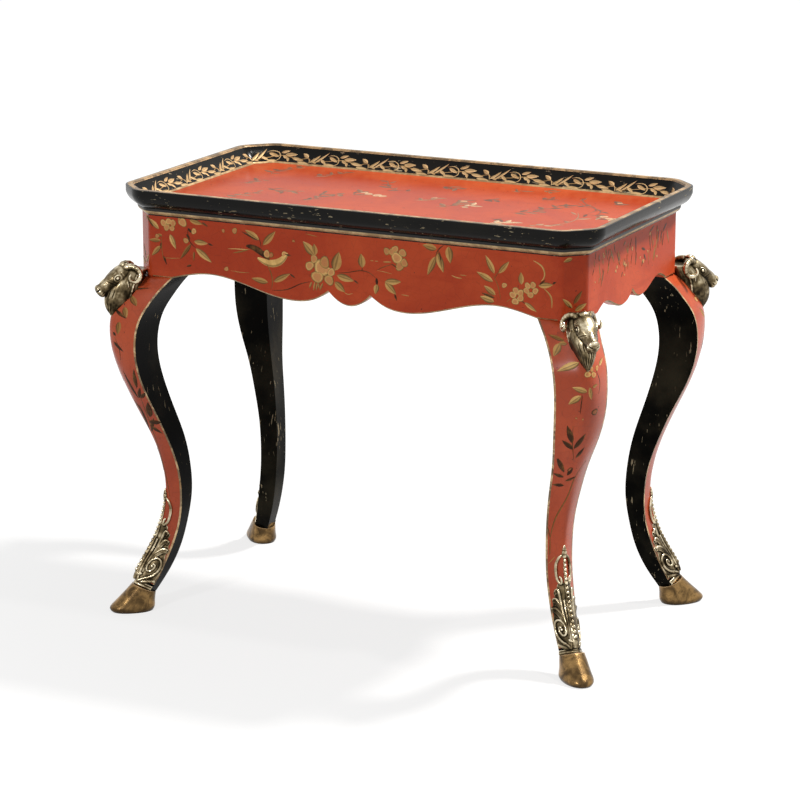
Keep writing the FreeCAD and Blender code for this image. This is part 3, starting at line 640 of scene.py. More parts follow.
# Strokes placed on points, each with its own turn, size and tone
strokes, given, result = geometry_group("placed_strokes", [("Stroke", "Object")])
stroke_turn = add_node(strokes, "GeometryNodeInputNamedAttribute", {"Name": "turn"}, data_type="FLOAT")
stroke_size = add_node(strokes, "GeometryNodeInputNamedAttribute", {"Name": "size"}, data_type="FLOAT_VECTOR")
stroke_shape = add_node(strokes, "GeometryNodeObjectInfo", {"Object": given["Stroke"]}).outputs["Geometry"]
stroke_places = add_node(strokes, "GeometryNodeInstanceOnPoints", {
    "Points": given["Geometry"], "Instance": stroke_shape, "Scale": stroke_size,
    "Rotation": add_node(strokes, "ShaderNodeCombineXYZ", {"Z": stroke_turn})})
stroke_solid = add_node(strokes, "GeometryNodeRealizeInstances", {"Geometry": stroke_places})
feed(strokes, result["Geometry"], stroke_solid)


def placed(rows, stroke):
    """One stroke shape placed many times; a row holds its place, turn, size and tone."""
    mesh = bare_mesh("places", [(row[0], row[1], 0) for row in rows], [])
    mark_points(mesh, "turn", [row[2] for row in rows])
    mark_points(mesh, "size", [row[3] for row in rows], "FLOAT_VECTOR", "vector")
    mark_points(mesh, "tone", [row[4] for row in rows])
    grown = grown_mesh("strokes", put_in_scene("places", mesh), strokes, {"Stroke": stroke})
    points = read_values(grown.vertices, "co", 3).astype(float)
    faces = [tuple(face.vertices) for face in grown.polygons]
    tones, sides = [read_values(grown.attributes[label].data, "value") for label in ("tone", "across")]
    return points, faces, tones, sides


def brushed_line(places, width, tone):
    """A line drawn with one stroke of the brush, which swells in its middle."""
    count = line_steps * len(places)
    line = path_through(places, count)
    aside = np.gradient(line, axis=0)
    aside = np.stack([-aside[:, 1], aside[:, 0]], -1)
    aside /= np.linalg.norm(aside, axis=1, keepdims=True)
    halves = width * plumpness / 2 * np.sin(math.pi * np.linspace(0.04, 0.96, count)) ** 0.6
    points = []
    for middle, side, half in zip(line, aside, halves):
        for share in (-1, 0, 1):
            height = paint_rise * 0.8 if share == 0 else -paint_sink
            points.append((*(middle - side * half * share), height))
    sides = np.tile([-0.5, -0.5, 0.4], count)
    return np.array(points), strip_faces(count, 3), np.full(len(sides), tone), sides


def painting(leaves, petals, lines):
    """Leaves, petals and lines in one sheet: along, up and proud of the ground, in millimetres."""
    leaf_rows, petal_rows = [], []
    for x, z, x2, z2, breadth, tone in leaves:
        size = (math.hypot(x2 - x, z2 - z), breadth * plumpness, paint_rise)
        leaf_rows.append((x, z, math.atan2(z2 - z, x2 - x), size, tone))
    for index, (x, z, radius, tone) in enumerate(petals):
        size = (radius, radius, paint_rise * (0.7 + 0.1 * (index % 7)))
        petal_rows.append((x, z, 2.4 * index, size, tone))
    kinds = ((leaf_rows, leaf_stroke), (petal_rows, petal_stroke))
    parts = [placed(rows, stroke) for rows, stroke in kinds if rows]
    return joined(parts + [brushed_line(*line) for line in lines])


def painted_mesh(name, points, faces, tones, sides, material):
    """A mesh of brush strokes at their places on the table."""
    mesh = new_mesh(name, points, faces, [material], smooth=60)
    mark_points(mesh, "tone", tones)
    mark_points(mesh, "across", sides)
    return mesh


def hand_painted(name, ink, ochre, pale, metal):
    """Brush strokes from dark ink through ochre to pale gold. Leaves have a vein and a side in shade."""
    material, tree, place = new_material(name)
    tone = add_node(tree, "ShaderNodeAttribute", attribute_name="tone").outputs["Fac"]
    side = add_node(tree, "ShaderNodeAttribute", attribute_name="across").outputs["Fac"]
    cloud = noise_at(tree, place, 70.0, 4.0, 0.6)
    grain = noise_at(tree, place, 700.0, 3.0, 0.6)
    blush = (0.60, 0.20, 0.085, 1)
    low = mixed(tree, mask_of(tree, tone, 0.05, 0.55), ink, ochre)
    full = mixed(tree, mask_of(tree, tone, 0.45, 0.85), low, pale)
    worn = mixed(tree, mask_of(tree, cloud, 0.45, 0.70, 0.45), full, ochre)
    flushed = mixed(tree, mask_of(tree, side, -0.4, -1.8, 0.65), worn, blush)
    shaded = mixed(tree, mask_of(tree, side, 0.05, 0.85, 0.80), flushed, ink)
    vein = mask_of(tree, number_math(tree, "ABSOLUTE", side), 0.30, 0.05, 0.55)
    colour = mixed(tree, mask_of(tree, grain, 0.5, 0.8, 0.3), mixed(tree, vein, shaded, ink), ink)
    looks = {"Base Color": colour, "Metallic": metal, "Roughness": 0.38, "Specular IOR Level": 0.1}
    return finished(material, looks, grain, 0.1, 0.0002)


leaf_stroke = unit_leaf()
petal_stroke = unit_petal()
vine_tones = ((0.10, 0.045, 0.012, 1), (0.42, 0.24, 0.085, 1), (0.80, 0.56, 0.28, 1))
vine_gold = hand_painted("vine_gold", *vine_tones, 0.25)

# A flat pattern repeated along a closed path and laid on the sloping, hollow wall beside it
laid, given, result = geometry_group("laid_round_tray", [
    ("Path", "Object"), ("Count", "Int", 1), ("Pitch", "Float", 1.0), ("Foot", "Vector"), ("Rise", "Vector"),
    ("Wall", "Float", 1.0), ("Hollow", "Float", 0.0), ("Finish", "Material")])


def laid_math(operation, *values):
    return number_math(laid, operation, *values)


pitch_step = add_node(laid, "ShaderNodeCombineXYZ", {"X": given["Pitch"]})
unit_places = add_node(laid, "GeometryNodeMeshLine", {"Count": given["Count"], "Offset": pitch_step})
units = add_node(laid, "GeometryNodeInstanceOnPoints", {"Points": unit_places, "Instance": given["Geometry"]})
all_units = add_node(laid, "GeometryNodeRealizeInstances", {"Geometry": units})
flat = add_node(laid, "ShaderNodeSeparateXYZ", {0: add_node(laid, "GeometryNodeInputPosition")}).outputs
foot = add_node(laid, "ShaderNodeSeparateXYZ", {0: given["Foot"]}).outputs
rise = add_node(laid, "ShaderNodeSeparateXYZ", {0: given["Rise"]}).outputs
whole_way = laid_math("MULTIPLY", given["Count"], given["Pitch"])
along_way = laid_math("FLOORED_MODULO", laid_math("MULTIPLY", flat["X"], -1.0), whole_way)
path_shape = add_node(laid, "GeometryNodeObjectInfo", {"Object": given["Path"]}).outputs["Geometry"]
on_path = add_node(laid, "GeometryNodeSampleCurve", {"Curves": path_shape, "Length": along_way},
                   mode="LENGTH", use_all_curves=True).outputs
sideways = vector_math(laid, "CROSS_PRODUCT", on_path["Tangent"], (0, 0, 1))
outward_way = vector_math(laid, "NORMALIZE", sideways)
wall_share = laid_math("DIVIDE", flat["Y"], given["Wall"])
bulge = laid_math("MULTIPLY", wall_share, laid_math("SUBTRACT", 1.0, wall_share))
sag = laid_math("MULTIPLY", laid_math("MULTIPLY", bulge, 4.0), given["Hollow"])
proud = laid_math("SUBTRACT", flat["Z"], sag)
reach_out = laid_math("ADD", foot["X"], laid_math("SUBTRACT", laid_math("MULTIPLY", flat["Y"], rise["X"]),
                                                  laid_math("MULTIPLY", proud, rise["Z"])))
reach_up = laid_math("ADD", foot["Z"], laid_math("ADD", laid_math("MULTIPLY", flat["Y"], rise["Z"]),
                                                 laid_math("MULTIPLY", proud, rise["X"])))
moved_out = add_node(laid, "ShaderNodeVectorMath", {0: outward_way, "Scale": reach_out}, operation="SCALE")
lifted = add_node(laid, "ShaderNodeCombineXYZ", {"Z": reach_up})
wall_place = vector_math(laid, "ADD", vector_math(laid, "ADD", on_path["Position"], moved_out), lifted)
laid_points = add_node(laid, "GeometryNodeSetPosition", {"Geometry": all_units, "Position": wall_place})
dressed = add_node(laid, "GeometryNodeSetMaterial", {"Geometry": laid_points, "Material": given["Finish"]})
feed(laid, result["Geometry"], dressed)

wall_foot = np.array([foot_x, floor_z])
wall_way = np.array([lip_x, rim_top - rim_edge_round]) - wall_foot
wall_length = np.linalg.norm(wall_way)
wall_way = wall_way / wall_length
vine_inset = (rim_foot_inset + rim_lip) / 2
vine_path_points = path_round_table(vine_inset)
vine_way = np.linalg.norm(np.roll(vine_path_points, -1, axis=0) - vine_path_points, axis=1).sum()
vine_count = round(vine_way / vine_unit_length)
vine_pitch = vine_way / vine_count
flat_points, *marks = painting(vine_leaves, [], vine_stems)
flat_points = flat_points * [vine_pitch / vine_unit_length, vine_height_share, 1]
vine_path = closed_curve("vine_path", vine_path_points)
vine_unit = put_in_scene("vine_unit", painted_mesh("vine_unit", flat_points, *marks, vine_gold))
vine_mesh = grown_mesh("gilt_vine", vine_unit, laid, {
    "Path": vine_path, "Count": vine_count, "Pitch": vine_pitch / metre, "Wall": wall_length / metre,
    "Foot": ((wall_foot[0] + vine_inset) / metre, 0, wall_foot[1] / metre),
    "Rise": (wall_way[0], 0, wall_way[1]), "Hollow": rim_hollow / metre, "Finish": vine_gold})
bpy.data.objects.remove(vine_path)
show_piece("gilt_vine", vine_mesh)

# Painted twigs on the tray
# Sparse twigs, dark leaves and a few pale blossoms drift over the floor of the tray in thin brown and gold
# paint, much rubbed by use.

tray_twigs = [
    (-318, 112, -311, 211, 0.25, 9), (-233, 121, -220, 191, 0.25, 7), (-263, -10, -202, -8, 0.30, 8),
    (-165, -73, -149, 3, 0.28, 8), (-144, -1, -126, 1, 0.40, 3), (-111, 8, -106, 39, 0.30, 4),
    (-37, 74, -119, 136, 0.20, 8), (-5, 140, 31, 139, 0.20, 6), (6, 9, 29, 47, 0.45, 5),
    (62, -21, 86, 49, 0.30, 9), (93, -1, 111, 18, 0.70, 4), (103, 68, 125, 73, 0.15, 5),
    (192, 106, 202, 129, 0.15, 4), (197, -18, 226, 22, 0.30, 5), (221, 20, 236, 80, 0.20, 5),
    (286, -91, 301, 34, 0.50, 4), (301, 34, 258, 157, 0.12, 3), (267, 117, 323, 31, 0.08, 2),
    (301, 34, 346, 0, 0.15, 4), (194, -110, 222, -75, 0.80, 5), (182, -74, 198, -71, 0.10, 3),
    (312, 125, 321, 144, 0.20, 4), (246, 63, 254, 82, 0.15, 3), (335, 23, 370, -2, 0.75, 4),
    (335, -120, 345, -102, 0.80, 3), (255, -100, 294, -74, 0.55, 4), (161, 183, 185, 180, 0.35, 4),
    (117, 154, 129, 167, 0.30, 3), (-300, -90, -255, -40, 0.40, 6), (-330, 20, -300, 60, 0.30, 5),
]
tray_blossoms = [
    (-100, 35, 7, 0.85), (-88, 27, 8, 0.95), (-70, 23, 9, 0.90), (-59, 20, 7, 0.80), (338, 24, 7, 0.85),
    (352, 12, 8, 0.80), (205, -95, 7, 0.90), (26, 44, 6, 0.85), (80, 40, 7, 0.80), (318, 138, 6, 0.75),
]
tray_paint_share = 0.6
twig_sway = 0.12
twig_width = 2.2


def twig(x, y, x2, y2, tone, leaf_count, seed):
    """A thin twig with small leaves on both sides: its leaves and its line."""
    chance = np.random.default_rng(seed)
    start, way = np.array([x, y], float), np.array([x2 - x, y2 - y], float)
    aside = np.array([-way[1], way[0]]) * twig_sway

    def on_twig(share):
        return start + way * share + aside * math.sin(share * 5 + seed)

    leaves = []
    for index in range(leaf_count):
        root = on_twig((index + 0.5) / leaf_count)
        turn = math.atan2(way[1], way[0]) + (1 if index % 2 else -1) * chance.uniform(0.4, 1.3)
        length = chance.uniform(12, 26)
        tip = root + length * np.array([math.cos(turn), math.sin(turn)])
        leaves.append((*root, *tip, chance.uniform(4, 9), tone + chance.uniform(-0.08, 0.12)))
    return leaves, ([on_twig(share) for share in (0, 0.3, 0.6, 1)], twig_width, tone)


def show_painting(name, design, material, to_place, flipped=False):
    """A painting of leaves, petals and lines on a surface; to_place puts along, up and proud in the table."""
    points, faces, tones, sides = painting(*design)
    if flipped:
        faces = [face[::-1] for face in faces]
    show_piece(name, painted_mesh(name, to_place(points), faces, tones, sides, material))


def on_tray(points):
    return points * [1, 1, tray_paint_share] + [0, 0, floor_z]


twigs = [twig(*row, seed) for seed, row in enumerate(tray_twigs)]
tray_leaves = [leaf for leaves, line in twigs for leaf in leaves]
tray_lines = [line for leaves, line in twigs]
faded_tones = ((0.11, 0.040, 0.022, 1), (0.36, 0.17, 0.08, 1), (0.78, 0.58, 0.34, 1))
faded_paint = hand_painted("faded_paint", *faded_tones, 0.05)
show_painting("painted_tray_twigs", (tray_leaves, tray_blossoms, tray_lines), faded_paint, on_tray)

# Rails
# Four rails make the frame under the tray. Their lower edges are sawn to lobes, cusps and ogees, eased by
# hand and edged with a gilt line. Canted boards close the corners. All are lacquered red.

rail_thickness = 20
rail_depth = 105
rail_ease = 2.5
frame_top_z = 687
shoulder_height = frame_top_z - rail_depth
board_thickness = 12
board_ease = 0.8
front_wave = 15.5
side_wave = 12
leg_square = 69
leg_recess = 4
apron_x = rim_length / 2 - apron_inset
apron_y = rim_width / 2 - apron_inset
post_x = apron_x - leg_recess - leg_square
post_y = apron_y - leg_recess - leg_square
half_edge_steps = 90
lobe_steps = 24
front_lobe_share = 0.115
front_lobe_rise_shares = (-0.90, 0.39)
front_edge_shares = [(0.115, 0.39), (0.19, -0.56), (0.302, -1.0), (0.468, -0.52), (0.785, 0.81), (1.0, 0.0)]
side_edge_shares = [(0.0, 0.83), (0.12, -0.25), (0.274, -0.65), (0.53, 0.15), (0.774, 0.97), (1.0, 0.0)]
rail_places = {
    "front": lambda along, inward, z: (along, inward - apron_y, z),
    "right": lambda along, inward, z: (apron_x - inward, along, z),
    "back": lambda along, inward, z: (-along, apron_y - inward, z),
    "left": lambda along, inward, z: (inward - apron_x, -along, z),
}


def half_edge(shares, reach, wave):
    """Half of a rail's lower edge, from the middle outward."""
    points = [(along * reach, shoulder_height + rise * wave) for along, rise in shares]
    return path_through(points, half_edge_steps)


front_half = half_edge(front_edge_shares, post_x, front_wave)
lobe_x = post_x * front_lobe_share
lobe_low, lobe_high = [shoulder_height + front_wave * share for share in front_lobe_rise_shares]
lobe = arc_points((-lobe_x, lobe_high), (lobe_x, lobe_high), lobe_low - lobe_high, lobe_steps)
front_edge = np.concatenate([front_half[::-1] * [-1, 1], lobe[1:-1], front_half])
side_half = half_edge(side_edge_shares, post_y, side_wave)
side_edge = np.concatenate([side_half[::-1] * [-1, 1], side_half[1:]])


def loft_faces(rows, columns):
    """Faces of a closed body through closed rows of points: its sides and then its two ends."""
    faces = []
    for row in range(rows - 1):
        for column in range(columns):
            after = (column + 1) % columns
            faces.append((row * columns + column, row * columns + after,
                          (row + 1) * columns + after, (row + 1) * columns + column))
    last = (rows - 1) * columns
    return faces + [tuple(range(columns))[::-1], tuple(range(last, last + columns))]


def closed_loft(rings):
    """A closed body through rings of points: its points, and its faces turned outward, judged by the volume
    that they enclose."""
    rings = np.asarray(rings, float)
    points = rings.reshape(-1, 3)
    faces = loft_faces(*rings.shape[:2])
    volume = 0.0
    for face in faces:
        for second, third in zip(face[1:], face[2:]):
            volume += np.dot(points[face[0]], np.cross(points[second], points[third]))
    return points, faces if volume > 0 else [face[::-1] for face in faces]


def rail_mesh(name, edge, half_run, material, to_place):
    """A rail with a sawn and eased lower edge; to_place puts along, inward and height in the table."""
    outline = np.array([(-half_run, shoulder_height), *edge, (half_run, shoulder_height),
                        (half_run, frame_top_z), (-half_run, frame_top_z)])
    inner = outline.copy()
    inner[:-2, 1] += rail_ease
    depths = (0, rail_ease, rail_thickness - rail_ease, rail_thickness)
    rings = list(zip((inner, outline, outline, inner), depths))
    points = [to_place(along, inward, z) for ring, inward in rings for along, z in ring]
    faces = loft_faces(len(rings), len(outline))
    finishes = [1 if face < len(edge) + 1 else 0 for face in range(len(faces))]
    return new_mesh(name, points, faces, [material, gilt], finishes)


apron_red = red_lacquer("apron_red", (0.12, 0.12, 1), (0.46, 0.048, 0.013, 1), (0.62, 0.088, 0.026, 1))
# The left and right rails get a lighter copy of the front rails' red: painted light, for the side that the
# high lamps light.
side_red = red_lacquer("side_red", (0.12, 0.12, 1), (0.54, 0.062, 0.018, 1), (0.76, 0.118, 0.038, 1), 0.05)
for side, to_place in rail_places.items():
    shape = (front_edge, run_x, apron_red) if side in ("front", "back") else (side_edge, run_y, side_red)
    name = "lacquered_apron_" + side
    show_piece(name, rail_mesh(name, *shape, to_place), ["apron_" + side])


def corner_signs(place):
    return (1 if "right" in place else -1, 1 if "back" in place else -1)


def mirrored(points, faces, signs):
    """The same piece at another corner, with its faces still turned outward."""
    if signs[0] * signs[1] < 0:
        faces = [face[::-1] for face in faces]
    return points * [signs[0], signs[1], 1], faces


board_inner = -apron_inset - board_thickness
board_profile = [(-apron_inset, shoulder_height + board_ease), (-apron_inset, frame_top_z),
                 (board_inner, frame_top_z), (board_inner, shoulder_height),
                 (-apron_inset - board_ease, shoulder_height)]
board_lines = [[(x, y, z) for x, y in corner_path(-out)] for out, z in board_profile]
board_points, board_faces = closed_loft(np.stack(board_lines, axis=1))
for place in corner_places:
    name = "lacquered_corner_" + place
    points, faces = mirrored(board_points, board_faces, corner_signs(place))
    show_piece(name, new_mesh(name, points, faces, [apron_red]), ["apron_corner_" + place])

# Legs
# Four cabriole legs, each carved from one block that runs on as a square post behind the rails. The section
# is a kite on the corner's diagonal. The two outer faces are red, the inner ones black, with a gilt line
# beside each arris and a black collar above the hoof.

ankle_front_height = 48
ankle_back_height = 31
leg_section_shares = [
    (0.045, 0.20, -0.13, -0.38, 0.25, 0.11),
    (0.110, 0.00, -0.45, -0.76, 0.29, 0.08),
    (0.184, -0.34, -0.74, -1.07, 0.32, 0.05),
    (0.263, -0.60, -0.96, -1.26, 0.33, 0.05),
    (0.344, -0.71, -1.02, -1.37, 0.335, 0.05),
    (0.430, -0.64, -0.94, -1.34, 0.355, 0.08),
    (0.515, -0.41, -0.70, -1.20, 0.40, 0.12),
    (0.598, -0.07, -0.39, -0.96, 0.46, 0.16),
    (0.680, 0.25, -0.07, -0.73, 0.57, 0.26),
    (0.763, 0.51, 0.13, -0.58, 0.64, 0.24),
    (0.842, 0.61, 0.13, -0.61, 0.66, 0.18),
    (0.895, 0.53, -0.02, -0.77, 0.67, 0.16),
    (0.938, 0.30, -0.28, -1.02, 0.67, 0.20),
    (0.971, 0.04, -0.52, -1.25, 0.69, 0.26),
]
leg_roundness_share = 0.75
leg_line_width = 3.6
collar_height = 12
leg_rows = 130
face_steps = 22
inner_steps = 6
brace_seat_width = 20
post_sink = 0.5


def shoulder_shares():
    """The last row: the leg's square head, a little behind the faces of the rails."""
    cant = corner_cant - apron_inset * (2 - math.sqrt(2))
    ridge = -cant / math.sqrt(2) - leg_recess
    side = -(2 * leg_recess + leg_square) / math.sqrt(2)
    inner = -(leg_recess + leg_square) * math.sqrt(2)
    across = leg_square / math.sqrt(2)
    return [size / leg_square for size in (ridge, side, inner, across, side + across - ridge)]


def table_curve(rows):
    """A smooth curve through the rows of a table, as a function of its first column."""
    return smooth_curve([row[0] for row in rows], [row[1:] for row in rows])


leg_columns = table_curve(leg_section_shares + [(1.0, *shoulder_shares())])


def leg_sizes_at(z):
    return np.moveaxis(leg_columns(np.asarray(z) / shoulder_height), -1, 0) * leg_square


def leg_point(z, turn):
    """A point of the leg: outward, across and up. Turn is 0 at the ridge, 1 at an arris and 2 at the back."""
    z, turn = np.broadcast_arrays(np.asarray(z, float), np.asarray(turn, float))
    ridge, side, inner, across, blunt = leg_sizes_at(z)
    share = np.clip(1 - np.abs(turn), 0, 1)
    inward = np.clip(np.abs(turn) - 1, 0, 1)
    pull = leg_roundness_share
    start, end = (1 - share) ** 3, share ** 3
    first, second = 3 * share * (1 - share) ** 2, 3 * share ** 2 * (1 - share)
    outward = start * side + first * (side + (ridge - side) * pull) + second * ridge + end * ridge
    aside = start * across + first * (across + (blunt - across) * pull) + second * blunt * pull
    outward = np.where(inward > 0, side + (inner - side) * inward, outward)
    aside = np.where(inward > 0, across * (1 - inward), aside)
    return np.stack([outward, aside * np.sign(turn), z], -1)


ankle_toe = leg_section_shares[0][1] * leg_square
ankle_heel = leg_section_shares[0][3] * leg_square


def ankle_joint_z(outward):
    slope = (ankle_front_height - ankle_back_height) / (ankle_toe - ankle_heel)
    return ankle_back_height + slope * (outward - ankle_heel)


def at_corner(points):
    """From outward, across and up on the diagonal to the front right corner of the table."""
    points = np.asarray(points, float)
    outward, across = points[..., 0] / math.sqrt(2), points[..., 1] / math.sqrt(2)
    return np.stack([apron_x + outward + across, across - outward - apron_y, points[..., 2]], -1)


def leg_signs(place):
    """The signs that mirror the front right leg to another corner."""
    across, back = corner_signs(place)
    return across, -back


def four_corners(name, points, faces, materials, face_materials, node, smooth):
    """The front right piece and its mirror images at the other corners."""
    for place in corner_places:
        mesh = new_mesh(name + "_" + place, *mirrored(points, faces, leg_signs(place)), materials,
                        face_materials, smooth)
        show_piece(name + "_" + place, mesh, [node + "_" + place])


# Columns of points round the leg. The gilt lines lie in the outermost faces of its two outer sides, so these
# keep one width while the others stretch.
inner_turns = np.linspace(1, 2, inner_steps + 1)
open_turns = np.concatenate([-inner_turns[:0:-1], np.linspace(-1, 1, 2 * face_steps + 1), inner_turns[1:-1]])
columns = len(open_turns)
leg_shares = np.linspace(0, 1, leg_rows)
heights = shoulder_height * np.repeat(leg_shares[:, None], columns, 1)
for settle in range(5):
    ridge, side, inner, across, blunt = leg_sizes_at(heights)
    line_share = leg_line_width / (3 * leg_roundness_share * np.hypot(ridge - side, across - blunt))
    beside_line = np.sign(open_turns) * (1 - line_share) * np.abs(open_turns) * face_steps / (face_steps - 1)
    turns = np.where(np.abs(open_turns) < 0.99, beside_line, open_turns)
    low = ankle_joint_z(leg_point(heights, turns)[..., 0])
    heights = low + (shoulder_height - low) * leg_shares[:, None]
leg_red_face, leg_black_face, leg_line_face, leg_wood_face = 0, 1, 2, 3
first_outer, after_outer = inner_steps, inner_steps + 2 * face_steps
leg_finishes = []
for share in leg_shares[:-1]:
    in_collar = share * (shoulder_height - ankle_front_height) < collar_height
    row = [leg_black_face] * columns
    if not in_collar:
        row[first_outer:after_outer] = [leg_red_face] * (2 * face_steps)
        row[first_outer] = row[after_outer - 1] = leg_line_face
    leg_finishes += row
leg_finishes += [leg_black_face, leg_wood_face]
seat = brace_seat_width / math.sqrt(2)
behind_x, behind_y = apron_x - rail_thickness, rail_thickness - apron_y
post_outline = [(post_x, -post_y - seat), (post_x, behind_y), (run_x, behind_y), (behind_x, -run_y),
                (behind_x, -post_y), (post_x + seat, -post_y)]
post_foot_z = shoulder_height - post_sink
post = closed_loft([[(x, y, z) for x, y in post_outline] for z in (post_foot_z, frame_top_z)])
leg_finishes += [leg_wood_face] * len(post[1])
leg_points, leg_faces = joined([closed_loft(at_corner(leg_point(heights, turns))), post])

leg_red = red_lacquer("leg_red", (1, 1, 0.15), (0.44, 0.060, 0.018, 1), (0.64, 0.105, 0.032, 1), 0.28)
leg_line_gilt = gilt_line("leg_line_gilt", (0.78, 0.57, 0.31, 1), (0.36, 0.21, 0.09, 1), breaks=0.6)
leg_black = black_lacquer("leg_black", (1.1, 1.1, 0.13), 0.865, 0.02, (0.030, 0.025, 0.015, 1))


def stretched(tree, vector, stretch):
    """Coordinates squeezed along some axes, so that a pattern runs along the others."""
    return add_node(tree, "ShaderNodeMapping", {"Vector": vector, "Scale": stretch})


def bare_wood():
    """Planed softwood: growth rings stretched along the board, with fine pores."""
    material, tree, place = new_material("bare_wood")
    grain = noise_at(tree, stretched(tree, place, (22, 22, 3)), 4.0, 6.0, 0.65, 1.2)
    pores = noise_at(tree, stretched(tree, place, (260, 260, 24)), 3.0, 2.0)
    rings = mixed(tree, mask_of(tree, grain, 0.35, 0.65), (0.23, 0.12, 0.055, 1), (0.38, 0.22, 0.11, 1))
    colour = mixed(tree, mask_of(tree, pores, 0.6, 0.72, 0.6), rings, (0.10, 0.05, 0.022, 1))
    return finished(material, {"Base Color": colour, "Roughness": 0.72}, grain, 0.25, 0.001)


wood = bare_wood()
four_corners("carved_leg", leg_points, leg_faces, [leg_red, leg_black, leg_line_gilt, wood], leg_finishes,
             "leg", 32)

# Hooves
# Cast bronze hooves with a flat front that slopes to the toe. Each is screwed up into the ankle and has brown
# patina in clouds rubbed to gold, darker towards the sole, and a thin light rim at the joint.

hoof_length = 77
hoof_width = 50
hoof_heel_inset = 25
hoof_section_shares = [
    (0.0, 0.03, 0.95, 0.45),
    (0.10, 0.0, 1.0, 0.50),
    (0.28, -0.01, 0.93, 0.48),
    (0.62, -0.03, 0.70, 0.43),
    (1.06, -0.05, 0.42, 0.34),
]
hoof_widest_share = 0.42
hoof_roundness_share = 0.60
hoof_rows = 26
hoof_columns = table_curve(hoof_section_shares)


def hoof_point(z, turn):
    """A point of the hoof: turn goes from 0 at the toe to 1 at the heel, and is negative on the left."""
    heel, toe, half = np.moveaxis(hoof_columns(z / ankle_front_height), -1, 0)
    heel, toe = hoof_length * heel - hoof_heel_inset, hoof_length * toe - hoof_heel_inset
    half = half * hoof_width
    widest = heel + (toe - heel) * hoof_widest_share
    share = np.abs(turn) * 2
    front, back = np.clip(share, 0, 1), np.clip(share - 1, 0, 1)
    pull = hoof_roundness_share

    def bend(place, start, end):
        """From start to end, leaving start squarely and meeting end flat."""
        return ((1 - place) ** 3 + 3 * place * (1 - place) ** 2) * start + (
            3 * place ** 2 * (1 - place) * (end + (start - end) * pull) + place ** 3 * end)

    def grow(place, start, end):
        """From start to end, leaving start flat and meeting end squarely."""
        return 3 * place * (1 - place) ** 2 * (start + (end - start) * pull) + start * (1 - place) ** 3 + (
            3 * place ** 2 * (1 - place) + place ** 3) * end

    along = np.where(share <= 1, bend(front, toe, widest), grow(back, widest, heel))
    aside = np.where(share <= 1, grow(front, 0, half), bend(back, half, 0))
    return np.stack([along, aside * np.sign(turn), z], -1)


def bronze(name):
    """Old bronze: brown patina in clouds, rubbed to gold in places, darker towards the sole."""
    material, tree, place = new_material(name)
    clouds = noise_at(tree, place, 34.0, 6.0, 0.65, 0.8)
    blots = noise_at(tree, place, 130.0, 4.0, 0.6)
    rubbed = mixed(tree, mask_of(tree, clouds, 0.36, 0.66), (0.085, 0.050, 0.019, 1), (0.36, 0.215, 0.080, 1))
    blotted = mixed(tree, mask_of(tree, blots, 0.50, 0.72, 0.6), rubbed, (0.045, 0.026, 0.011, 1))
    height = add_node(tree, "ShaderNodeSeparateXYZ", {"Vector": place}).outputs["Z"]
    colour = mixed(tree, ranged(tree, height, 0.001, 0.009, 0.9, 0.0), blotted, (0.018, 0.011, 0.006, 1))
    looks = {"Base Color": colour, "Metallic": 0.9, "Roughness": ranged(tree, clouds, 0.0, 1.0, 0.44, 0.14)}
    return finished(material, looks, blots, 0.15, 0.0010)


joint_reach = (20, 62)
hoof_bronze = bronze("hoof_bronze")
hoof_turns = np.linspace(-1, 1, 57)[:-1]
hoof_shares = np.concatenate([[0, 0.02], np.linspace(0.05, 0.97, hoof_rows - 4), [0.995, 1.0]])
hoof_z = ankle_front_height * hoof_shares[:, None] * np.ones_like(hoof_turns)
for settle in range(6):
    joint = ankle_joint_z(hoof_point(hoof_z, hoof_turns)[..., 0])
    hoof_z = np.clip(joint, *joint_reach) * hoof_shares[:, None]
hoof_points, hoof_faces = closed_loft(at_corner(hoof_point(hoof_z, hoof_turns)))
rim_faces = 2 * len(hoof_turns)
hoof_finishes = [0] * (len(hoof_faces) - 2 - rim_faces) + [1] * rim_faces + [0, 0]
four_corners("cast_hoof", hoof_points, hoof_faces, [hoof_bronze, gilt], hoof_finishes,
             "hoof", 50)

# Painted sprays on the rails
# Flowering sprays, a peony branch and a bird in gold, ochre and dark ink run over the long rails. The short
# rails have hanging grasses with a few pale blossoms, and the canted boards a small sprig.

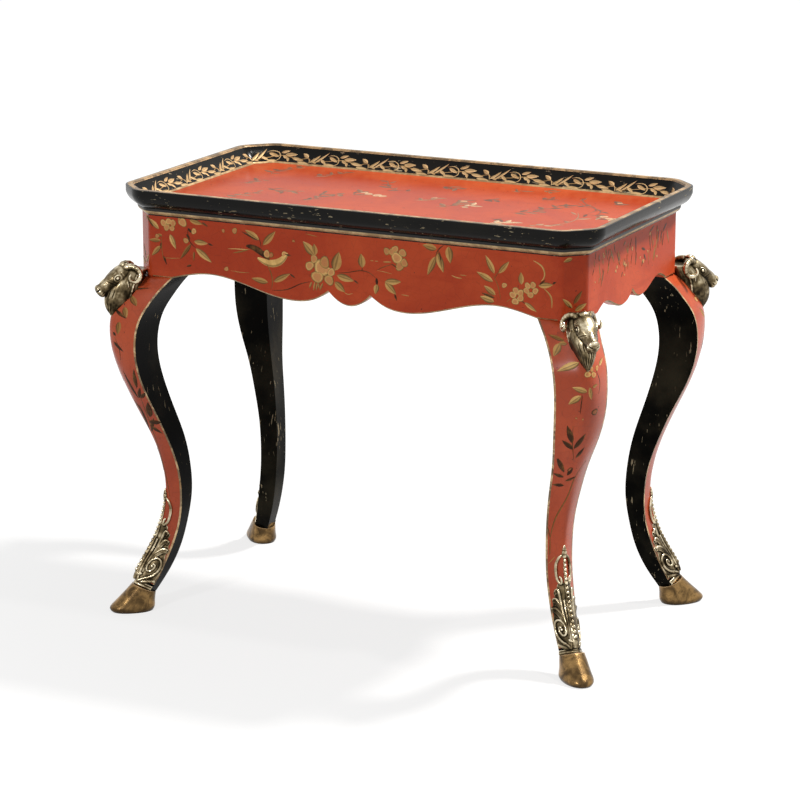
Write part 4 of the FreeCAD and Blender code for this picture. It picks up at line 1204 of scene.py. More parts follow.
front_leaves = [
    (-350, 663, -368, 679, 7, 0.70), (-361, 666, -373, 685, 3, 0.15), (-292, 683, -267, 678, 7, 0.60),
    (-269, 681, -257, 675, 3, 0.10), (-347, 644, -369, 643, 6, 0.55), (-347, 635, -364, 617, 7, 0.60),
    (-329, 656, -318, 632, 8, 0.75), (-284, 648, -258, 647, 8, 0.65), (-258, 647, -248, 644, 2.5, 0.10),
    (-281, 637, -251, 616, 9, 0.70), (-289, 644, -310, 616, 6, 0.35), (-342, 619, -336, 604, 3, 0.10),
    (-295, 669, -288, 662, 4, 0.10), (-298, 659, -291, 650, 4, 0.15), (-289, 608, -299, 605, 3, 0.10),
    (-284, 632, -285, 615, 3, 0.40), (-344, 652, -353, 654, 4, 0.50), (-346, 641, -347, 630, 3, 0.10),
    (-163, 662, -189, 676, 9, 0.65), (-164, 661, -196, 673, 3, 0.12), (-156, 654, -133, 679, 9, 0.60),
    (-147, 593, -178, 597, 8, 0.60), (-137, 595, -106, 612, 8, 0.60), (-107, 611, -97, 605, 2.5, 0.15),
    (-61, 603, -64, 587, 3, 0.65), (-56, 603, -53, 591, 3, 0.60), (-67, 602, -72, 591, 3, 0.60),
    (-62, 646, -83, 667, 12, 0.65), (-61, 646, -63, 665, 9, 0.60), (-26, 624, -18, 656, 15, 0.62),
    (-22, 617, 9, 611, 10, 0.65), (9, 612, 17, 607, 2.5, 0.12), (-26, 606, -7, 591, 10, 0.62),
    (-57, 601, -59, 588, 3, 0.60), (-47, 602, -53, 589, 3, 0.60), (24, 634, 21, 657, 11, 0.62),
    (50, 610, 47, 593, 8, 0.65), (49, 620, 50, 606, 4, 0.08), (64, 615, 93, 618, 9, 0.68),
    (64, 615, 84, 596, 10, 0.66), (81, 597, 85, 586, 3, 0.12), (155, 677, 130, 681, 9, 0.62),
    (153, 665, 139, 633, 9, 0.60), (156, 670, 167, 640, 10, 0.66), (158, 674, 165, 648, 4, 0.10),
    (175, 683, 179, 656, 11, 0.64), (255, 647, 239, 675, 8, 0.68), (262, 648, 280, 669, 7, 0.66),
    (253, 634, 224, 647, 8, 0.68), (257, 613, 237, 626, 8, 0.68), (255, 602, 230, 608, 9, 0.70),
    (256, 608, 233, 614, 4, 0.20), (301, 634, 300, 654, 8, 0.66), (330, 635, 355, 639, 8, 0.66),
    (354, 640, 360, 644, 3, 0.15), (307, 606, 328, 593, 6, 0.70), (332, 636, 342, 646, 3, 0.15),
]
front_petals = [
    (-331, 677, 6, 0.80), (-341, 674, 6, 0.72), (-323, 675, 6, 0.72), (-335, 667, 6, 0.66),
    (-325, 666, 5, 0.70), (-305, 678, 8, 0.70), (-311, 682, 3, 0.60), (-284, 665, 5, 0.75),
    (-353, 651, 4, 0.60), (-299, 648, 5, 0.62), (-229, 671, 3, 0.60), (-208, 673, 5, 0.60),
    (-224, 608, 4, 0.65), (-100, 666, 2.5, 0.50), (-50, 626, 14, 0.80), (-63, 640, 7, 0.68),
    (-71, 628, 8, 0.72), (-57, 611, 11, 0.70), (-36, 608, 9, 0.66), (-44, 636, 10, 0.60),
    (-32, 621, 7, 0.74), (-38, 623, 7, 0.80), (85, 656, 10, 0.82), (67, 665, 6, 0.62),
    (76, 665, 6, 0.66), (82, 670, 6, 0.70), (95, 665, 7, 0.66), (98, 649, 7, 0.66), (90, 643, 8, 0.64),
    (272, 630, 4.5, 0.72), (287, 616, 6, 0.80), (292, 623, 6, 0.74), (300, 620, 6, 0.78),
    (300, 612, 6, 0.74), (291, 606, 6, 0.78), (312, 633, 5.5, 0.78), (321, 635, 5.5, 0.74),
    (325, 626, 5.5, 0.78), (317, 619, 5.5, 0.74), (310, 625, 5.5, 0.72),
]
front_lines = [
    ([(-345, 652), (-345, 631), (-342, 611)], 1.2, 0.35),
    ([(-342, 616), (-326, 616), (-310, 618)], 1.0, 0.55),
    ([(-295, 669), (-293, 649), (-280, 637)], 1.6, 0.10),
    ([(-160, 650), (-161, 659), (-165, 667)], 1.2, 0.10),
    ([(-158, 650), (-154, 658), (-146, 668)], 1.0, 0.25),
    ([(-150, 625), (-142, 610), (-139, 595), (-141, 583)], 1.8, 0.30),
    ([(-140, 581), (-109, 586), (-89, 596), (-69, 602)], 1.5, 0.10),
    ([(-216, 606), (-199, 605), (-181, 606)], 1.0, 0.60),
    ([(-22, 621), (3, 625), (22, 629), (40, 625), (49, 618)], 1.3, 0.15), ([(24, 634), (23, 629)], 1.4, 0.10),
    ([(49, 632), (64, 640), (79, 645)], 1.2, 0.20), ([(76, 645), (87, 639)], 2, 0.08),
    ([(50, 632), (62, 631), (76, 629)], 0.9, 0.60), ([(-9, 591), (-3, 588), (7, 591)], 1, 0.65),
    ([(167, 684), (158, 676), (153, 664)], 1.8, 0.10), ([(181, 637), (191, 634), (199, 634)], 1.6, 0.66),
    ([(195, 639), (207, 639)], 1.2, 0.60), ([(93, 597), (107, 596)], 1.2, 0.60),
    ([(-78, 680), (-57, 677)], 1.2, 0.50), ([(38, 647), (44, 647)], 1.2, 0.60),
    ([(46, 647), (52, 647)], 1.2, 0.62), ([(61, 647), (75, 648)], 2.2, 0.60),
    ([(266, 607), (259, 633), (252, 645)], 1.3, 0.35), ([(255, 639), (262, 651)], 1.2, 0.20),
    ([(335, 643), (339, 648), (338, 663), (321, 674)], 2.4, 0.68),
    ([(340, 631), (351, 620), (353, 602)], 2.6, 0.60), ([(301, 608), (309, 604)], 1.4, 0.15),
    ([(275, 603), (284, 610)], 0.9, 0.50),
]
bird_lines = [
    ([(-221, 642), (-204, 643), (-181, 644)], 1.4, 0.75),
    ([(-211, 636), (-195, 640), (-181, 645)], 2.2, 0.40),
    ([(-166, 632), (-150, 626), (-134, 626), (-120, 634), (-111, 645)], 11, 1.0),
    ([(-187, 650), (-173, 648), (-159, 641), (-144, 631)], 9.5, 0.03),
]
bird_spots = [(-149, 640, 6.5, 0.72), (-141, 639, 4.5, 0.45), (-117, 643, 4.8, 0.95)]
bird_beak = [(-116, 643, -105, 641, 3, 0.10)]
corner_sprig = [(-4, 681, -19, 676, 6, 0.6), (-3, 602, -20, 618, 6, 0.68), (-1, 608, 13, 629, 6, 0.35),
                (-5, 602, -12, 610, 2.5, 0.12), (1, 597, 21, 608, 7, 0.7)]
grass_count = 70
grass_seed = 11
grass_clearance = 32
dot_count = 16

rail_tones = ((0.040, 0.014, 0.006, 1), (0.42, 0.20, 0.052, 1), (0.92, 0.58, 0.20, 1))
rail_paint = hand_painted("rail_paint", *rail_tones, 0.05)


def on_rail(side):
    return lambda points: np.array([rail_places[side](along, -proud, z) for along, z, proud in points])


long_design = (front_leaves + bird_beak, front_petals + bird_spots, front_lines + bird_lines)
for side in ("front", "back"):
    show_painting("painted_sprays_" + side, long_design, rail_paint, on_rail(side))

chance = np.random.default_rng(grass_seed)
grasses, grass_dots = [], []
for blade in range(grass_count):
    along = chance.uniform(-run_y * 0.95, run_y * 0.97)
    root = chance.uniform(618, 684)
    turn = math.radians(chance.normal(-98, 22))
    length = chance.uniform(9, 32)
    bottom = root + length * math.sin(turn)
    if bottom > shoulder_height + grass_clearance:
        grasses.append((along, root, along + length * math.cos(turn), bottom, chance.uniform(2, 4.5),
                        chance.choice([0.12, 0.20, 0.28, 0.45])))
for dot in range(dot_count):
    grass_dots.append((chance.uniform(-170, 170), chance.uniform(622, 676), chance.uniform(1.6, 3.4),
                       chance.uniform(0.7, 0.95)))
for side in ("right", "left"):
    show_painting("painted_grasses_" + side, (grasses, grass_dots, []), rail_paint, on_rail(side))

board_sight = 40
board_tree = BVHTree.FromPolygons([Vector(point) for point in board_points], board_faces)
board_away = Vector((1, 1, 0)).normalized()
board_along = Vector((1, -1, 0)).normalized()


def on_board(points):
    """Lays along, up and proud on the canted board at the back right."""
    laid_points = []
    for along, z, proud in points:
        start = Vector((apron_x, apron_y, z)) + board_away * board_sight + board_along * along
        hit = board_tree.ray_cast(start, -board_away)[0]
        laid_points.append(hit + board_away * proud)
    return np.array(laid_points)


for place in corner_places:
    signs = corner_signs(place)
    show_painting("painted_sprig_" + place, (corner_sprig, [], []), rail_paint,
                  lambda points: on_board(points) * [signs[0], signs[1], 1], signs[0] * signs[1] > 0)

# Painted leaves on the legs
# Leaves, blossoms and bamboo climb the red faces of every knee and calf, gilt above and dark below.

bamboo_leaves = [
    (-24, 556, -42, 562, 5, 0.45), (-22, 553, -32, 551, 5, 0.62), (-30, 552, -41, 532, 7, 0.66),
    (-11, 528, -40, 511, 8, 0.85), (-2, 483, -23, 489, 8, 0.72), (-11, 477, -27, 461, 8, 0.75),
    (2, 490, 6, 469, 6, 0.70), (7, 489, 18, 492, 4, 0.60), (25, 518, 38, 526, 5, 0.80),
    (-14, 394, -26, 426, 7, 0.12), (-11, 383, -29, 399, 6, 0.14), (-10, 384, 4, 411, 7, 0.16),
    (-4, 367, 7, 386, 5, 0.14), (-17, 343, -28, 365, 5, 0.14), (-15, 339, -29, 364, 5, 0.12),
    (-14, 330, -28, 335, 5, 0.14), (-11, 315, -26, 314, 5, 0.12), (-11, 323, 4, 332, 4, 0.14),
    (-10, 334, -5, 349, 5, 0.10),
]
bamboo_petals = [
    (-1, 510, 5, 0.82), (10, 508, 5, 0.78), (7, 517, 4, 0.70), (19, 516, 4, 0.70), (15, 447, 6, 0.20),
    (-15, 439, 1.6, 0.60), (-5, 437, 1.6, 0.60), (-8, 345, 4, 0.20),
]
bamboo_lines = [
    ([(16, 513), (24, 491), (21, 476)], 1.4, 0.12), ([(-9, 477), (-10, 462), (-10, 447)], 1.4, 0.10),
    ([(-18, 426), (-14, 394), (-5, 359)], 1, 0.20),
    ([(18, 359), (2, 328), (-1, 304), (-12, 262), (-18, 218)], 2.0, 0.32),
    ([(-18, 218), (-22, 236)], 1.4, 0.25), ([(-18, 218), (-18, 189)], 1.4, 0.30),
    ([(-20, 174), (-11, 189)], 0.9, 0.60),
]
twig_leaves = [
    (-1, 556, -35, 565, 3, 0.18), (-4, 551, -20, 550, 5, 0.5), (-18, 550, -33, 535, 6, 0.50),
    (-18, 532, -28, 515, 6, 0.55), (-6, 526, -28, 514, 4, 0.12), (-19, 508, -19, 486, 7, 0.50),
    (-10, 489, -16, 483, 4, 0.12), (-10, 473, -27, 458, 5, 0.12), (-20, 375, -16, 424, 5, 0.12),
    (-21, 375, -34, 397, 4, 0.14), (-3, 314, -13, 361, 5, 0.13), (-6, 311, -24, 340, 4, 0.14),
    (1, 241, 1, 281, 4, 0.13), (12, 500, 24, 520, 6, 0.55), (10, 470, 22, 450, 5, 0.16),
    (6, 400, 18, 420, 5, 0.14), (-28, 394, -37, 430, 5, 0.14), (-25, 376, -37, 388, 4, 0.14),
    (-19, 340, -31, 370, 7, 0.14), (-10, 350, -7, 369, 4, 0.14), (-13, 330, -32, 334, 7, 0.14),
    (-10, 324, -24, 311, 6, 0.14),
]
twig_petals = [(-8, 543, 3, 0.85), (12, 540, 4, 0.80), (20, 534, 4, 0.75)]
twig_lines = [
    ([(-26, 382), (-10, 315), (-3, 238), (-8, 190)], 1.4, 0.25),
    ([(-13, 481), (-20, 461), (-18, 442)], 1.2, 0.15), ([(2, 520), (14, 470), (8, 410)], 1.2, 0.18),
]


def unit(vector):
    vector = np.asarray(vector, float)
    return vector / np.linalg.norm(vector, axis=-1, keepdims=True)


def leg_normal(z, turn):
    """Which way the leg's outer face looks."""
    over = leg_point(z, turn + 0.02) - leg_point(z, turn - 0.02)
    rise = leg_point(z + 2.0, turn) - leg_point(z - 2.0, turn)
    return unit(np.cross(over, rise))


def turn_at(z, aside):
    """The turn at which the leg's outer face is that far across."""
    low, high = np.zeros_like(aside), np.ones_like(aside)
    for step in range(24):
        middle = (low + high) / 2
        reach = leg_point(z, middle)[..., 1]
        low = np.where(reach < np.abs(aside), middle, low)
        high = np.where(reach < np.abs(aside), high, middle)
    return (low + high) / 2 * np.sign(aside)


def on_leg(z, aside, lift):
    """A point over the leg's outer face, given across in millimetres, and the way that the face looks."""
    z, aside, lift = np.broadcast_arrays(*[np.asarray(value, float) for value in (z, aside, lift)])
    turn = turn_at(z, aside)
    normal = leg_normal(z, turn)
    return leg_point(z, turn) + normal * lift[..., None], normal


for place in corner_places:
    signs = leg_signs(place)
    design = (bamboo_leaves, bamboo_petals, bamboo_lines)
    if place in ("front_left", "back_right"):
        design = (twig_leaves, twig_petals, twig_lines)
    show_painting("painted_leaves_" + place, design, rail_paint,
                  lambda points: at_corner(on_leg(points[:, 1], points[:, 0], points[:, 2])[0]) * [*signs, 1],
                  signs[0] * signs[1] < 0)
for stroke in (leaf_stroke, petal_stroke):
    bpy.data.objects.remove(stroke)

# Ram's-head masks
# One cast and chased brass mask on each knee: a narrow ram's head that looks outward and down, with ringed
# horns that curl beside it, over a pointed collar with a curled fleece edge. A pin holds it to the leg.

ram_head_length = 69.8
ram_head_width = 34
ram_head_tilt = math.radians(33)
ram_crown = np.array([4.0, 0.0, shoulder_height + 10])
ram_collar_tip_height = shoulder_height - 68
horn_thickness = 10.5
horn_ring_radius = 10
horn_ring_count = 15
body_sides = 28
horn_ring_middle = ram_crown + [1, 0, -7]
cast_grain = 0.7
head_along = np.array([math.cos(ram_head_tilt), 0, -math.sin(ram_head_tilt)])
head_lift = np.array([math.sin(ram_head_tilt), 0, math.cos(ram_head_tilt)])
head_section_shares = [
    (0.0, 0.26, 0.34), (0.14, 0.46, 0.46), (0.34, 0.50, 0.50), (0.50, 0.46, 0.47),
    (0.70, 0.35, 0.32), (0.88, 0.33, 0.29), (0.97, 0.27, 0.25), (1.0, 0.14, 0.14),
]
neck_section_shares = [
    (0.0, 1.18, 0.18, 0.08), (0.12, 1.36, 0.50, 0.24), (0.35, 1.48, 0.90, 0.46),
    (0.70, 1.18, 0.85, 0.66), (1.0, 0.50, 0.60, 0.50),
]
horn_turn_shares = [
    (25, 1.50, 1.00, 0.20), (70, 1.35, 1.00, 0.38), (115, 1.20, 0.94, 0.58), (160, 1.06, 0.84, 0.72),
    (205, 1.00, 0.75, 0.80), (250, 1.00, 0.68, 0.85), (295, 1.00, 0.58, 0.88), (340, 0.98, 0.44, 0.90),
    (385, 0.75, 0.26, 0.90),
]


def ring_at(middle, first, second, sides, squareness=1.0):
    """Points round an oval with the given half axes; a squareness below 1 fills its corners."""
    angles = np.linspace(0, 2 * math.pi, sides, endpoint=False)
    cosines, sines = np.cos(angles), np.sin(angles)
    first_share = np.sign(cosines) * np.abs(cosines) ** squareness
    second_share = np.sign(sines) * np.abs(sines) ** squareness
    return middle + first_share[:, None] * first + second_share[:, None] * second


def ball(middle, first, second, third):
    """An egg-like body with three half axes."""
    first, second, third = np.array(first), np.array(second), np.array(third)
    rings = []
    for latitude in np.radians(np.linspace(-80, 80, 9)):
        share = math.cos(latitude)
        rings.append(ring_at(middle + third * math.sin(latitude), first * share, second * share, 14))
    return closed_loft(rings)


def rod_along(middles, halves, normals, sides, flatness=1.0):
    """A round rod along points, flattened toward the surface that its normals stand on."""
    middles, normals = np.asarray(middles, float), np.asarray(normals, float) * np.ones_like(middles)
    tangents = unit(np.gradient(middles, axis=0))
    across = unit(np.cross(normals, tangents))
    lifts = unit(np.cross(tangents, across))
    halves = np.broadcast_to(halves, len(middles))
    return closed_loft([ring_at(middle, side * half, lift * half * flatness, sides)
                        for middle, half, side, lift in zip(middles, halves, across, lifts)])


def cast_in_one(parts, grain):
    """One cast body from overlapping closed forms."""
    points, faces = joined(parts)
    pattern = put_in_scene("pattern", bare_mesh("pattern", points / metre, faces))
    remesh = pattern.modifiers.new("cast", "REMESH")
    remesh.mode = "VOXEL"
    remesh.voxel_size = grain / metre
    depsgraph = bpy.context.evaluated_depsgraph_get()
    cast = bpy.data.meshes.new_from_object(pattern.evaluated_get(depsgraph))
    bpy.data.objects.remove(pattern)
    return cast


class Casting:
    """A cast surface that can be smoothed, and chased with a graver."""

    def __init__(self, parts, grain, rounds):
        self.mesh = cast_in_one(parts, grain)
        self.points = read_values(self.mesh.vertices, "co", 3).astype(float) * metre
        self.edges = read_values(self.mesh.edges, "vertices", 2, np.int32)
        self.degree = np.bincount(self.edges.ravel(), minlength=len(self.points))[:, None]
        for step in range(rounds):
            self.points += (self.around(self.points) - self.points) * 0.5

    def around(self, values):
        """The mean of the neighbours of every point."""
        total = np.zeros_like(values)
        np.add.at(total, self.edges[:, 0], values[self.edges[:, 1]])
        np.add.at(total, self.edges[:, 1], values[self.edges[:, 0]])
        return total / self.degree

    def normals(self):
        self.mesh.vertices.foreach_set("co", (self.points / metre).astype(np.float32).ravel())
        self.mesh.update()
        return read_values(self.mesh.vertex_normals, "vector", 3).astype(float)

    def chase(self, lines, half_width, depth):
        """Cuts grooves along lines."""
        normals = self.normals()
        push = np.zeros(len(self.points))
        for line in lines:
            line = np.asarray(line, float)
            near = np.all((self.points > line.min(0) - 3 * half_width) &
                          (self.points < line.max(0) + 3 * half_width), axis=1).nonzero()[0]
            gaps = np.linalg.norm(self.points[near][:, None] - line[None], axis=2).min(1)
            push[near] = np.maximum(push[near], np.exp(-(gaps / half_width) ** 2))
        self.points -= normals * (push * depth)[:, None]

    def hollows(self, rounds, depth):
        """How far each point lies in a hollow, from 0 on raised parts to 1 in recesses."""
        normals = self.normals()
        smooth = self.points.copy()
        for step in range(rounds):
            smooth += (self.around(smooth) - smooth) * 0.6
        sunk = np.sum((smooth - self.points) * normals, axis=1)[:, None]
        for step in range(2):
            sunk = self.around(sunk)
        return np.clip(0.5 + sunk[:, 0] / depth, 0, 1)

    def show_four(self, name, material, node, hollow):
        """The casting at the four corners of the table."""
        for place in corner_places:
            signs = leg_signs(place)
            mesh = self.mesh.copy()
            mesh.name = name + "_" + place
            points = at_corner(self.points) * [*signs, 1] / metre
            mesh.vertices.foreach_set("co", points.astype(np.float32).ravel())
            if signs[0] * signs[1] < 0:
                mesh.flip_normals()
            mark_points(mesh, "hollow", hollow)
            mesh.materials.clear()
            mesh.materials.append(material)
            mesh.update()
            mesh.polygons.foreach_set("use_smooth", [True] * len(mesh.polygons))
            show_piece(mesh.name, mesh, [node + "_" + place])


def cast_brass(name):
    """Gilt brass: patina in hollows, painted shade on downward faces, bright where rubbed, finely pitted."""
    material, tree, place = new_material(name)
    hollow = add_node(tree, "ShaderNodeAttribute", attribute_name="hollow").outputs["Fac"]
    cloud = noise_at(tree, place, 60.0, 5.0, 0.6)
    grain = noise_at(tree, place, 420.0, 4.0, 0.6)
    normal = add_node(tree, "ShaderNodeNewGeometry").outputs["Normal"]
    facing_up = add_node(tree, "ShaderNodeSeparateXYZ", {"Vector": normal}).outputs["Z"]
    # Patina in the hollows plus painted shade: faces that look down are darkened as if in shade, and so are
    # rubbed bright less often.
    grime_and_shade = number_math(tree, "ADD", number_math(tree, "MULTIPLY_ADD", cloud, 0.7, hollow),
                        ranged(tree, facing_up, -0.9, 0.5, 0.20, 0.0))
    dark = mask_of(tree, grime_and_shade, 0.70, 1.05)
    ground = mixed(tree, dark, (0.25, 0.185, 0.095, 1), (0.014, 0.010, 0.005, 1))
    rubbed = ranged(tree, grime_and_shade, 0.56, 0.88, 1.0, 0.0, "SMOOTHSTEP")
    looks = {"Base Color": mixed(tree, rubbed, ground, (0.90, 0.80, 0.58, 1)), "Metallic": 1.0,
             "Roughness": ranged(tree, dark, 0.0, 1.0, 0.22, 0.50)}
    return finished(material, looks, grain, 0.12, 0.0005)


head_columns = table_curve(head_section_shares)
neck_columns = table_curve(neck_section_shares)
horn_columns = table_curve(horn_turn_shares)


def head_place(length_share, lift, across):
    """A point of the head: along it as a share of its length, above it and across as shares of its width."""
    place = ram_crown + head_along * ram_head_length * length_share
    return place + head_lift * ram_head_width * lift + np.array([0, ram_head_width * across, 0])


def head_line(side, places, count):
    """A line over one side of the head."""
    return path_through([head_place(along, lift, across * side) for along, lift, across in places], count)


def head_ball(length_share, lift, across, along, aside, up):
    """A rounded form on the head: its place and its three half axes."""
    return ball(head_place(length_share, lift, across), head_along * along, [0, aside, 0], head_lift * up)


def head_body():
    rings = []
    for share in np.concatenate([np.linspace(0, 0.96, 30), [0.98, 1.0]]):
        half_height, half_width = head_columns(share) * ram_head_width
        middle = ram_crown + head_along * ram_head_length * share
        rings.append(ring_at(middle, head_lift * half_height, np.array([0, half_width, 0]), body_sides, 0.86))
    return closed_loft(rings)


def neck_at(share):
    """The collar at a share of its height: how far out it comes, its half depth, half width and height."""
    reach, depth, half_width = np.moveaxis(neck_columns(share), -1, 0) * ram_head_width
    return reach, depth, half_width, ram_collar_tip_height + (ram_crown[2] - ram_collar_tip_height) * share


def neck_body():
    rings = []
    for share in np.linspace(0, 1, 26):
        reach, depth, half_width, z = neck_at(share)
        middle = np.array([reach - depth, 0, z])
        halves = np.array([depth, 0, 0]), np.array([0, half_width, 0])
        rings.append(ring_at(middle, *halves, body_sides, 0.9))
    return closed_loft(rings)


def horn_body(side):
    """A horn that curls beside the head, with a swelling for each of its rings."""
    turns = np.linspace(25, 392, 110)
    angles = np.radians(turns)
    reach, thickness, across = np.moveaxis(horn_columns(turns), -1, 0)
    outward = np.stack([np.cos(angles), 0 * angles, np.sin(angles)], -1)
    middles = horn_ring_middle + outward * horn_ring_radius * reach[:, None]
    middles[:, 1] += side * ram_head_width * across
    swell = 1 + 0.03 * np.sin(angles * horn_ring_count)
    return rod_along(middles, thickness * horn_thickness / 2 * swell, outward, 16)


def ear_body(side):
    root = head_place(0.27, -0.14, 0.44 * side)
    way = unit([-0.30, side * 0.9, -1.05])
    stations = np.linspace(-0.3, 1, 12)
    middles = root + way * 13 * stations[:, None] + np.array([0, 0, -1.0]) * 3.0 * stations[:, None] ** 2
    halves = 3.9 * np.sin(np.clip((stations + 0.55) / 1.6, 0, 1) * math.pi) ** 0.8 + 0.4
    return rod_along(middles, halves, unit([1, 0, 0.5]), 12, 0.42)


def collar_rim(side):
    """The rolled, waved rim along the collar's edge, from behind the horn to the tip."""
    shares = np.linspace(0.03, 0.90, 60)
    reach, depth, half_width, z = neck_at(shares)
    middles = np.stack([reach - depth * 1.2, side * half_width * 0.95, z], -1)
    halves = (1.4 + 0.9 * shares) * (1 + 0.12 * np.sin(shares * 70))
    return rod_along(middles, halves, unit([1, side * 0.6, 0]), 12)


def eye_rim(side):
    """The raised lid round an eye."""
    turns = np.radians(np.linspace(0, 350, 36))
    middle = head_place(0.41, 0.14, 0.455 * side)
    middles = middle + head_along * 5.6 * np.cos(turns)[:, None] + head_lift * 4.5 * np.sin(turns)[:, None]
    return rod_along(middles, 1.15, unit([0, side, 0]), 10)


# Brow, eye, cheek, nostril and lip: their places along, up and across, and their three half axes
paired_forms = [
    (0.37, 0.30, 0.27, 8.5, 4.4, 4.2), (0.41, 0.14, 0.44, 3.6, 3.4, 3.0),
    (0.46, -0.22, 0.36, 9.5, 4.4, 5.5), (0.905, 0.10, 0.19, 4.2, 3.3, 4.0),
    (0.915, -0.22, 0.13, 4.2, 4.0, 3.0),
]
ram_parts = [head_body(), neck_body()]
for side in (1, -1):
    ram_parts += [horn_body(side), ear_body(side), collar_rim(side), eye_rim(side)]
    for along, lift, across, *halves in paired_forms:
        ram_parts.append(head_ball(along, lift, across * side, *halves))
crest = head_ball(0.10, 0.42, 0, 7.0, 9.0, 4.8)
nose_bridge = head_ball(0.62, 0.28, 0, 17, 4.6, 4.0)
ram_parts += [crest, nose_bridge]
for across in (-0.26, -0.09, 0.09, 0.26):
    ram_parts.append(head_ball(0.02 + abs(across) * 0.1, 0.43 - abs(across) * 0.3, across, 4.6, 2.9, 3.6))
ram = Casting(ram_parts, cast_grain, 3)

lids, mouth, nostrils, folds, locks = [], [], [], [], []
for side in (1, -1):
    lids.append(ring_at(head_place(0.41, 0.14, 0.515 * side), head_along * 4.3, head_lift * 3.4, 30))
    mouth.append(head_line(side, [(1.01, -0.13, 0.0), (0.96, -0.13, 0.21), (0.82, -0.11, 0.31),
                                  (0.70, -0.07, 0.35)], 40))
    nostrils.append(head_line(side, [(0.99, 0.10, 0.12), (0.955, 0.13, 0.26), (0.90, 0.17, 0.30)], 12))
    for back in (0.0, 0.06, 0.12):
        folds.append(head_line(side, [(0.72 - back, 0.26, 0.25), (0.66 - back, 0.08, 0.40),
                                      (0.60 - back, -0.12, 0.45)], 24))
    folds.append(head_line(side, [(0.28, 0.30, 0.42), (0.30, 0.0, 0.53), (0.38, -0.38, 0.42),
                                  (0.55, -0.46, 0.22)], 36))
for across in np.linspace(-0.36, 0.36, 7):
    strand = []
    for share in np.linspace(0.04, 0.60, 8):
        reach, depth, half_width, z = neck_at(share)
        front = depth * math.sqrt(max(0.05, 1 - (2.0 * across) ** 2))
        strand.append((reach - depth + front, across * 2 * half_width + math.sin(share * 22) * 0.9, z))
    locks.append(path_through(strand, 60))
ram.chase(lids, 0.9, 1.3)
ram.chase(mouth, 0.8, 1.5)
ram.chase(nostrils, 1.2, 2.0)
ram.chase(folds, 0.8, 0.7)
ram.chase(locks, 0.8, 1.0)
ram.show_four("cast_ram_head", cast_brass("mask_brass"), "ram_head", ram.hollows(14, 1.5))

# Foot mounts
# A cast brass acanthus leaf wraps the outer faces of each ankle. A beaded rib runs up the ridge to a bud,
# with an open scroll on each side, veined lobes below and a volute beside the ankle. Two pins hold it.

mount_foot_z = ankle_front_height + 1.0
mount_top_z = 0.359 * shoulder_height
mount_grain = 0.57
lobe_tips = ((0.345, 0.88), (0.430, 0.78), (0.515, 0.62))
lobe_ridges = ((0.0, 2.3), (0.028, 1.7), (0.052, 1.3))
bud_beads = ((0.885, 3.0), (0.92, 3.6), (0.95, 2.9), (0.975, 2.0), (0.992, 1.2))


def on_mount(height, width, lift):
    """A point over the ankle, given by shares of the mount's height and of the leg's half width."""
    z = mount_foot_z + (mount_top_z - mount_foot_z) * np.asarray(height, float)
    return on_leg(z, leg_sizes_at(z)[3] * width, lift)


def mount_rod(side, places, halves, lifts, count, flatness=0.8):
    """A rod that lies on one side of the ankle along a few places."""
    rows = [(height, width * side, half, lift) for (height, width), half, lift in zip(places, halves, lifts)]
    line = path_through(rows, count)
    middles, normals = on_mount(line[:, 0], line[:, 1], line[:, 3])
    return rod_along(middles, np.maximum(line[:, 2], 0.4), normals, 12, flatness)


def mount_bead(height, width, lift, size, aside=1.0, up=1.0):
    middle = on_mount(height, width, lift)[0]
    return ball(middle, [size, 0, 0], [0, size * aside, 0], [0, 0, size * up])


def leaf_plate(side):
    """The thin ground of the leaf on one face of the ankle."""
    rows, columns = 34, 16
    heights = np.linspace(0.0, 0.62, rows)
    edge = smooth_curve([0.0, 0.08, 0.18, 0.30, 0.38, 0.46, 0.54, 0.62],
                        [0.93, 0.97, 0.96, 0.86, 0.80, 0.68, 0.54, 0.26])(heights)
    edge = edge + 0.10 * np.abs(np.sin((heights - 0.30) * math.pi / 0.085)) * (heights > 0.30)
    widths = side * np.linspace(-0.06, 1, columns) * edge[:, None]
    heights = np.repeat(heights[:, None], columns, 1)
    under, over = on_mount(heights, widths, -1.2)[0], on_mount(heights, widths, 1.1)[0]
    return closed_loft(np.concatenate([under, over[:, ::-1]], axis=1))


def volute(side):
    """The volute: up the outer edge from the foot, over and in to the middle, drawn out along the ankle."""
    places, halves, lifts = [], [], []
    for share in np.linspace(0, 1, 22):
        angle = math.radians(-100 + 560 * share)
        reach = 1.0 - 0.86 * share ** 0.85
        places.append((0.175 + 0.125 * reach * math.sin(angle), 0.55 + 0.42 * reach * math.cos(angle)))
        halves.append(2.2 - 0.6 * share)
        lifts.append(2.0 + 1.8 * share)
    return mount_rod(side, places, halves, lifts, 120, 0.9)


def foot_ring(rise, half):
    """A ring round the front of the ankle, a little above the sloping joint with the hoof."""
    widths = np.linspace(-0.98, 0.98, 41)
    z = np.full(41, float(mount_foot_z))
    for settle in range(4):
        middles, normals = on_leg(z, leg_sizes_at(z)[3] * widths, 0.8)
        z = ankle_joint_z(middles[:, 0]) + rise
    return rod_along(middles, half, normals, 12, 0.9)


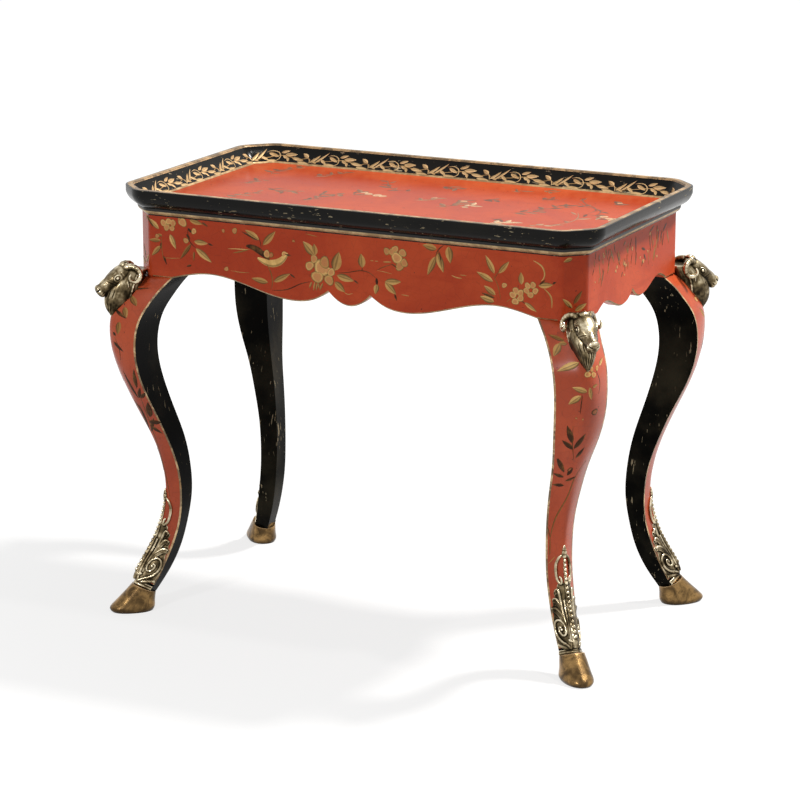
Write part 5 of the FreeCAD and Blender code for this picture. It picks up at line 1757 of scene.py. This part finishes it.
mount_parts = [foot_ring(2.9, 2.8), foot_ring(7.2, 1.5)]
for side in (1, -1):
    mount_parts += [leaf_plate(side), volute(side), mount_bead(0.175, side * 0.55, 2.6, 2.6)]
    side_stem = [(0.46, 0.16), (0.34, 0.15), (0.20, 0.12), (0.09, 0.14), (0.035, 0.34), (0.045, 0.62)]
    mount_parts.append(mount_rod(side, side_stem, [1.7, 2.1, 2.3, 2.3, 2.1, 1.8],
                                 [2.2, 2.8, 3.2, 3.4, 2.8, 2.0], 60))
    scroll = [(0.90, 0.06), (0.875, 0.24), (0.82, 0.40), (0.74, 0.47), (0.66, 0.44), (0.615, 0.32),
              (0.630, 0.20), (0.665, 0.22), (0.672, 0.30)]
    mount_parts.append(mount_rod(side, scroll, [1.7, 2.1, 2.4, 2.5, 2.4, 2.3, 2.0, 1.7, 2.0],
                                 [1.2, 1.6, 2.0, 2.2, 2.2, 2.2, 2.4, 2.6, 2.8], 90))
    for tip_height, tip_width in lobe_tips:
        for drop, half in lobe_ridges:
            sweep = [(tip_height - drop * 0.4, tip_width - 0.4 * drop),
                     (tip_height - drop + 0.004, tip_width * 0.66),
                     (tip_height * 0.62 + 0.085 - drop, 0.36 + drop), (0.20, 0.24 + drop),
                     (0.11, 0.22 + drop)]
            mount_parts.append(mount_rod(side, sweep, [half, half * 1.1, half, half * 0.8, half * 0.6],
                                         [1.7, 2.2, 2.4, 2.0, 1.6], 44))
rib = [(height, 0) for height in (0.05, 0.16, 0.30, 0.45, 0.65, 0.85, 0.93)]
mount_parts.append(mount_rod(1, rib, [4.6, 5.0, 4.6, 3.8, 2.8, 2.0, 1.5],
                             [2.4, 4.0, 3.8, 2.6, 1.4, 0.6, 0.5], 90))
for height in np.arange(0.12, 0.86, 0.045):
    mount_parts.append(mount_bead(height, 0.0, 7.6 - 6.4 * height, 3.7 - 1.7 * height, 1.0, 1.05))
mount_parts += [mount_bead(height, 0.0, 1.2, size, 1.2, 1.4) for height, size in bud_beads]
foot_roll = [(0.10, -0.26), (0.085, -0.12), (0.08, 0.0), (0.085, 0.12), (0.10, 0.26)]
mount_parts.append(mount_rod(1, foot_roll, [2.2, 3.0, 3.3, 3.0, 2.2], [2.6, 3.2, 3.4, 3.2, 2.6], 24, 1.0))
foot_edge = [(0.016, -0.95), (0.012, -0.5), (0.010, 0), (0.012, 0.5), (0.016, 0.95)]
mount_parts.append(mount_rod(1, foot_edge, [2.6, 3.0, 3.2, 3.0, 2.6], [0.6] * 5, 50))
mount = Casting(mount_parts, mount_grain, 2)

veins = []
for side in (1, -1):
    for index in range(6):
        vein = [(0.52 - 0.04 * index, side * (0.50 + 0.05 * index)), (0.42 - 0.035 * index, side * 0.58),
                (0.29, side * (0.28 + 0.09 * index)), (0.22, side * (0.20 + 0.05 * index))]
        line = path_through(vein, 60)
        veins.append(on_mount(line[:, 0], line[:, 1], 1.6)[0])
mount.chase(veins, 0.55, 0.6)
mount.show_four("cast_foot_mount", cast_brass("mount_brass"), "foot_mount", mount.hollows(12, 1.3))

# Braces and fasteners
# Softwood blocks cross the corners inside the frame, and steel screws and brass pins hold the whole. They are
# as they left the bench: sawn wood, turned steel with a little rust, drawn brass.


def plain_metal(name, bright, dull, roughness):
    """A turned fastener with fine scratches and some tarnish."""
    material, tree, place = new_material(name)
    tarnish = mask_of(tree, noise_at(tree, place, 120.0, 5.0, 0.6), 0.45, 0.70)
    scratches = noise_at(tree, stretched(tree, place, (40, 40, 900)), 3.0, 2.0)
    looks = {"Base Color": mixed(tree, tarnish, bright, dull), "Metallic": 1.0, "Roughness": roughness}
    return finished(material, looks, scratches, 0.2, 0.0003)


steel = plain_metal("old_steel", (0.42, 0.41, 0.39, 1), (0.12, 0.075, 0.045, 1), 0.42)
pin_brass = plain_metal("pin_brass", (0.60, 0.44, 0.18, 1), (0.20, 0.13, 0.05, 1), 0.35)
for place in corner_places:
    use_material("corner_brace_" + place, wood)
for name in ("brace_screws", "leg_screws", "top_screws", "hoof_screws"):
    use_material(name, steel)
for name in ("ram_head_pins", "mount_pins"):
    use_material(name, pin_brass)
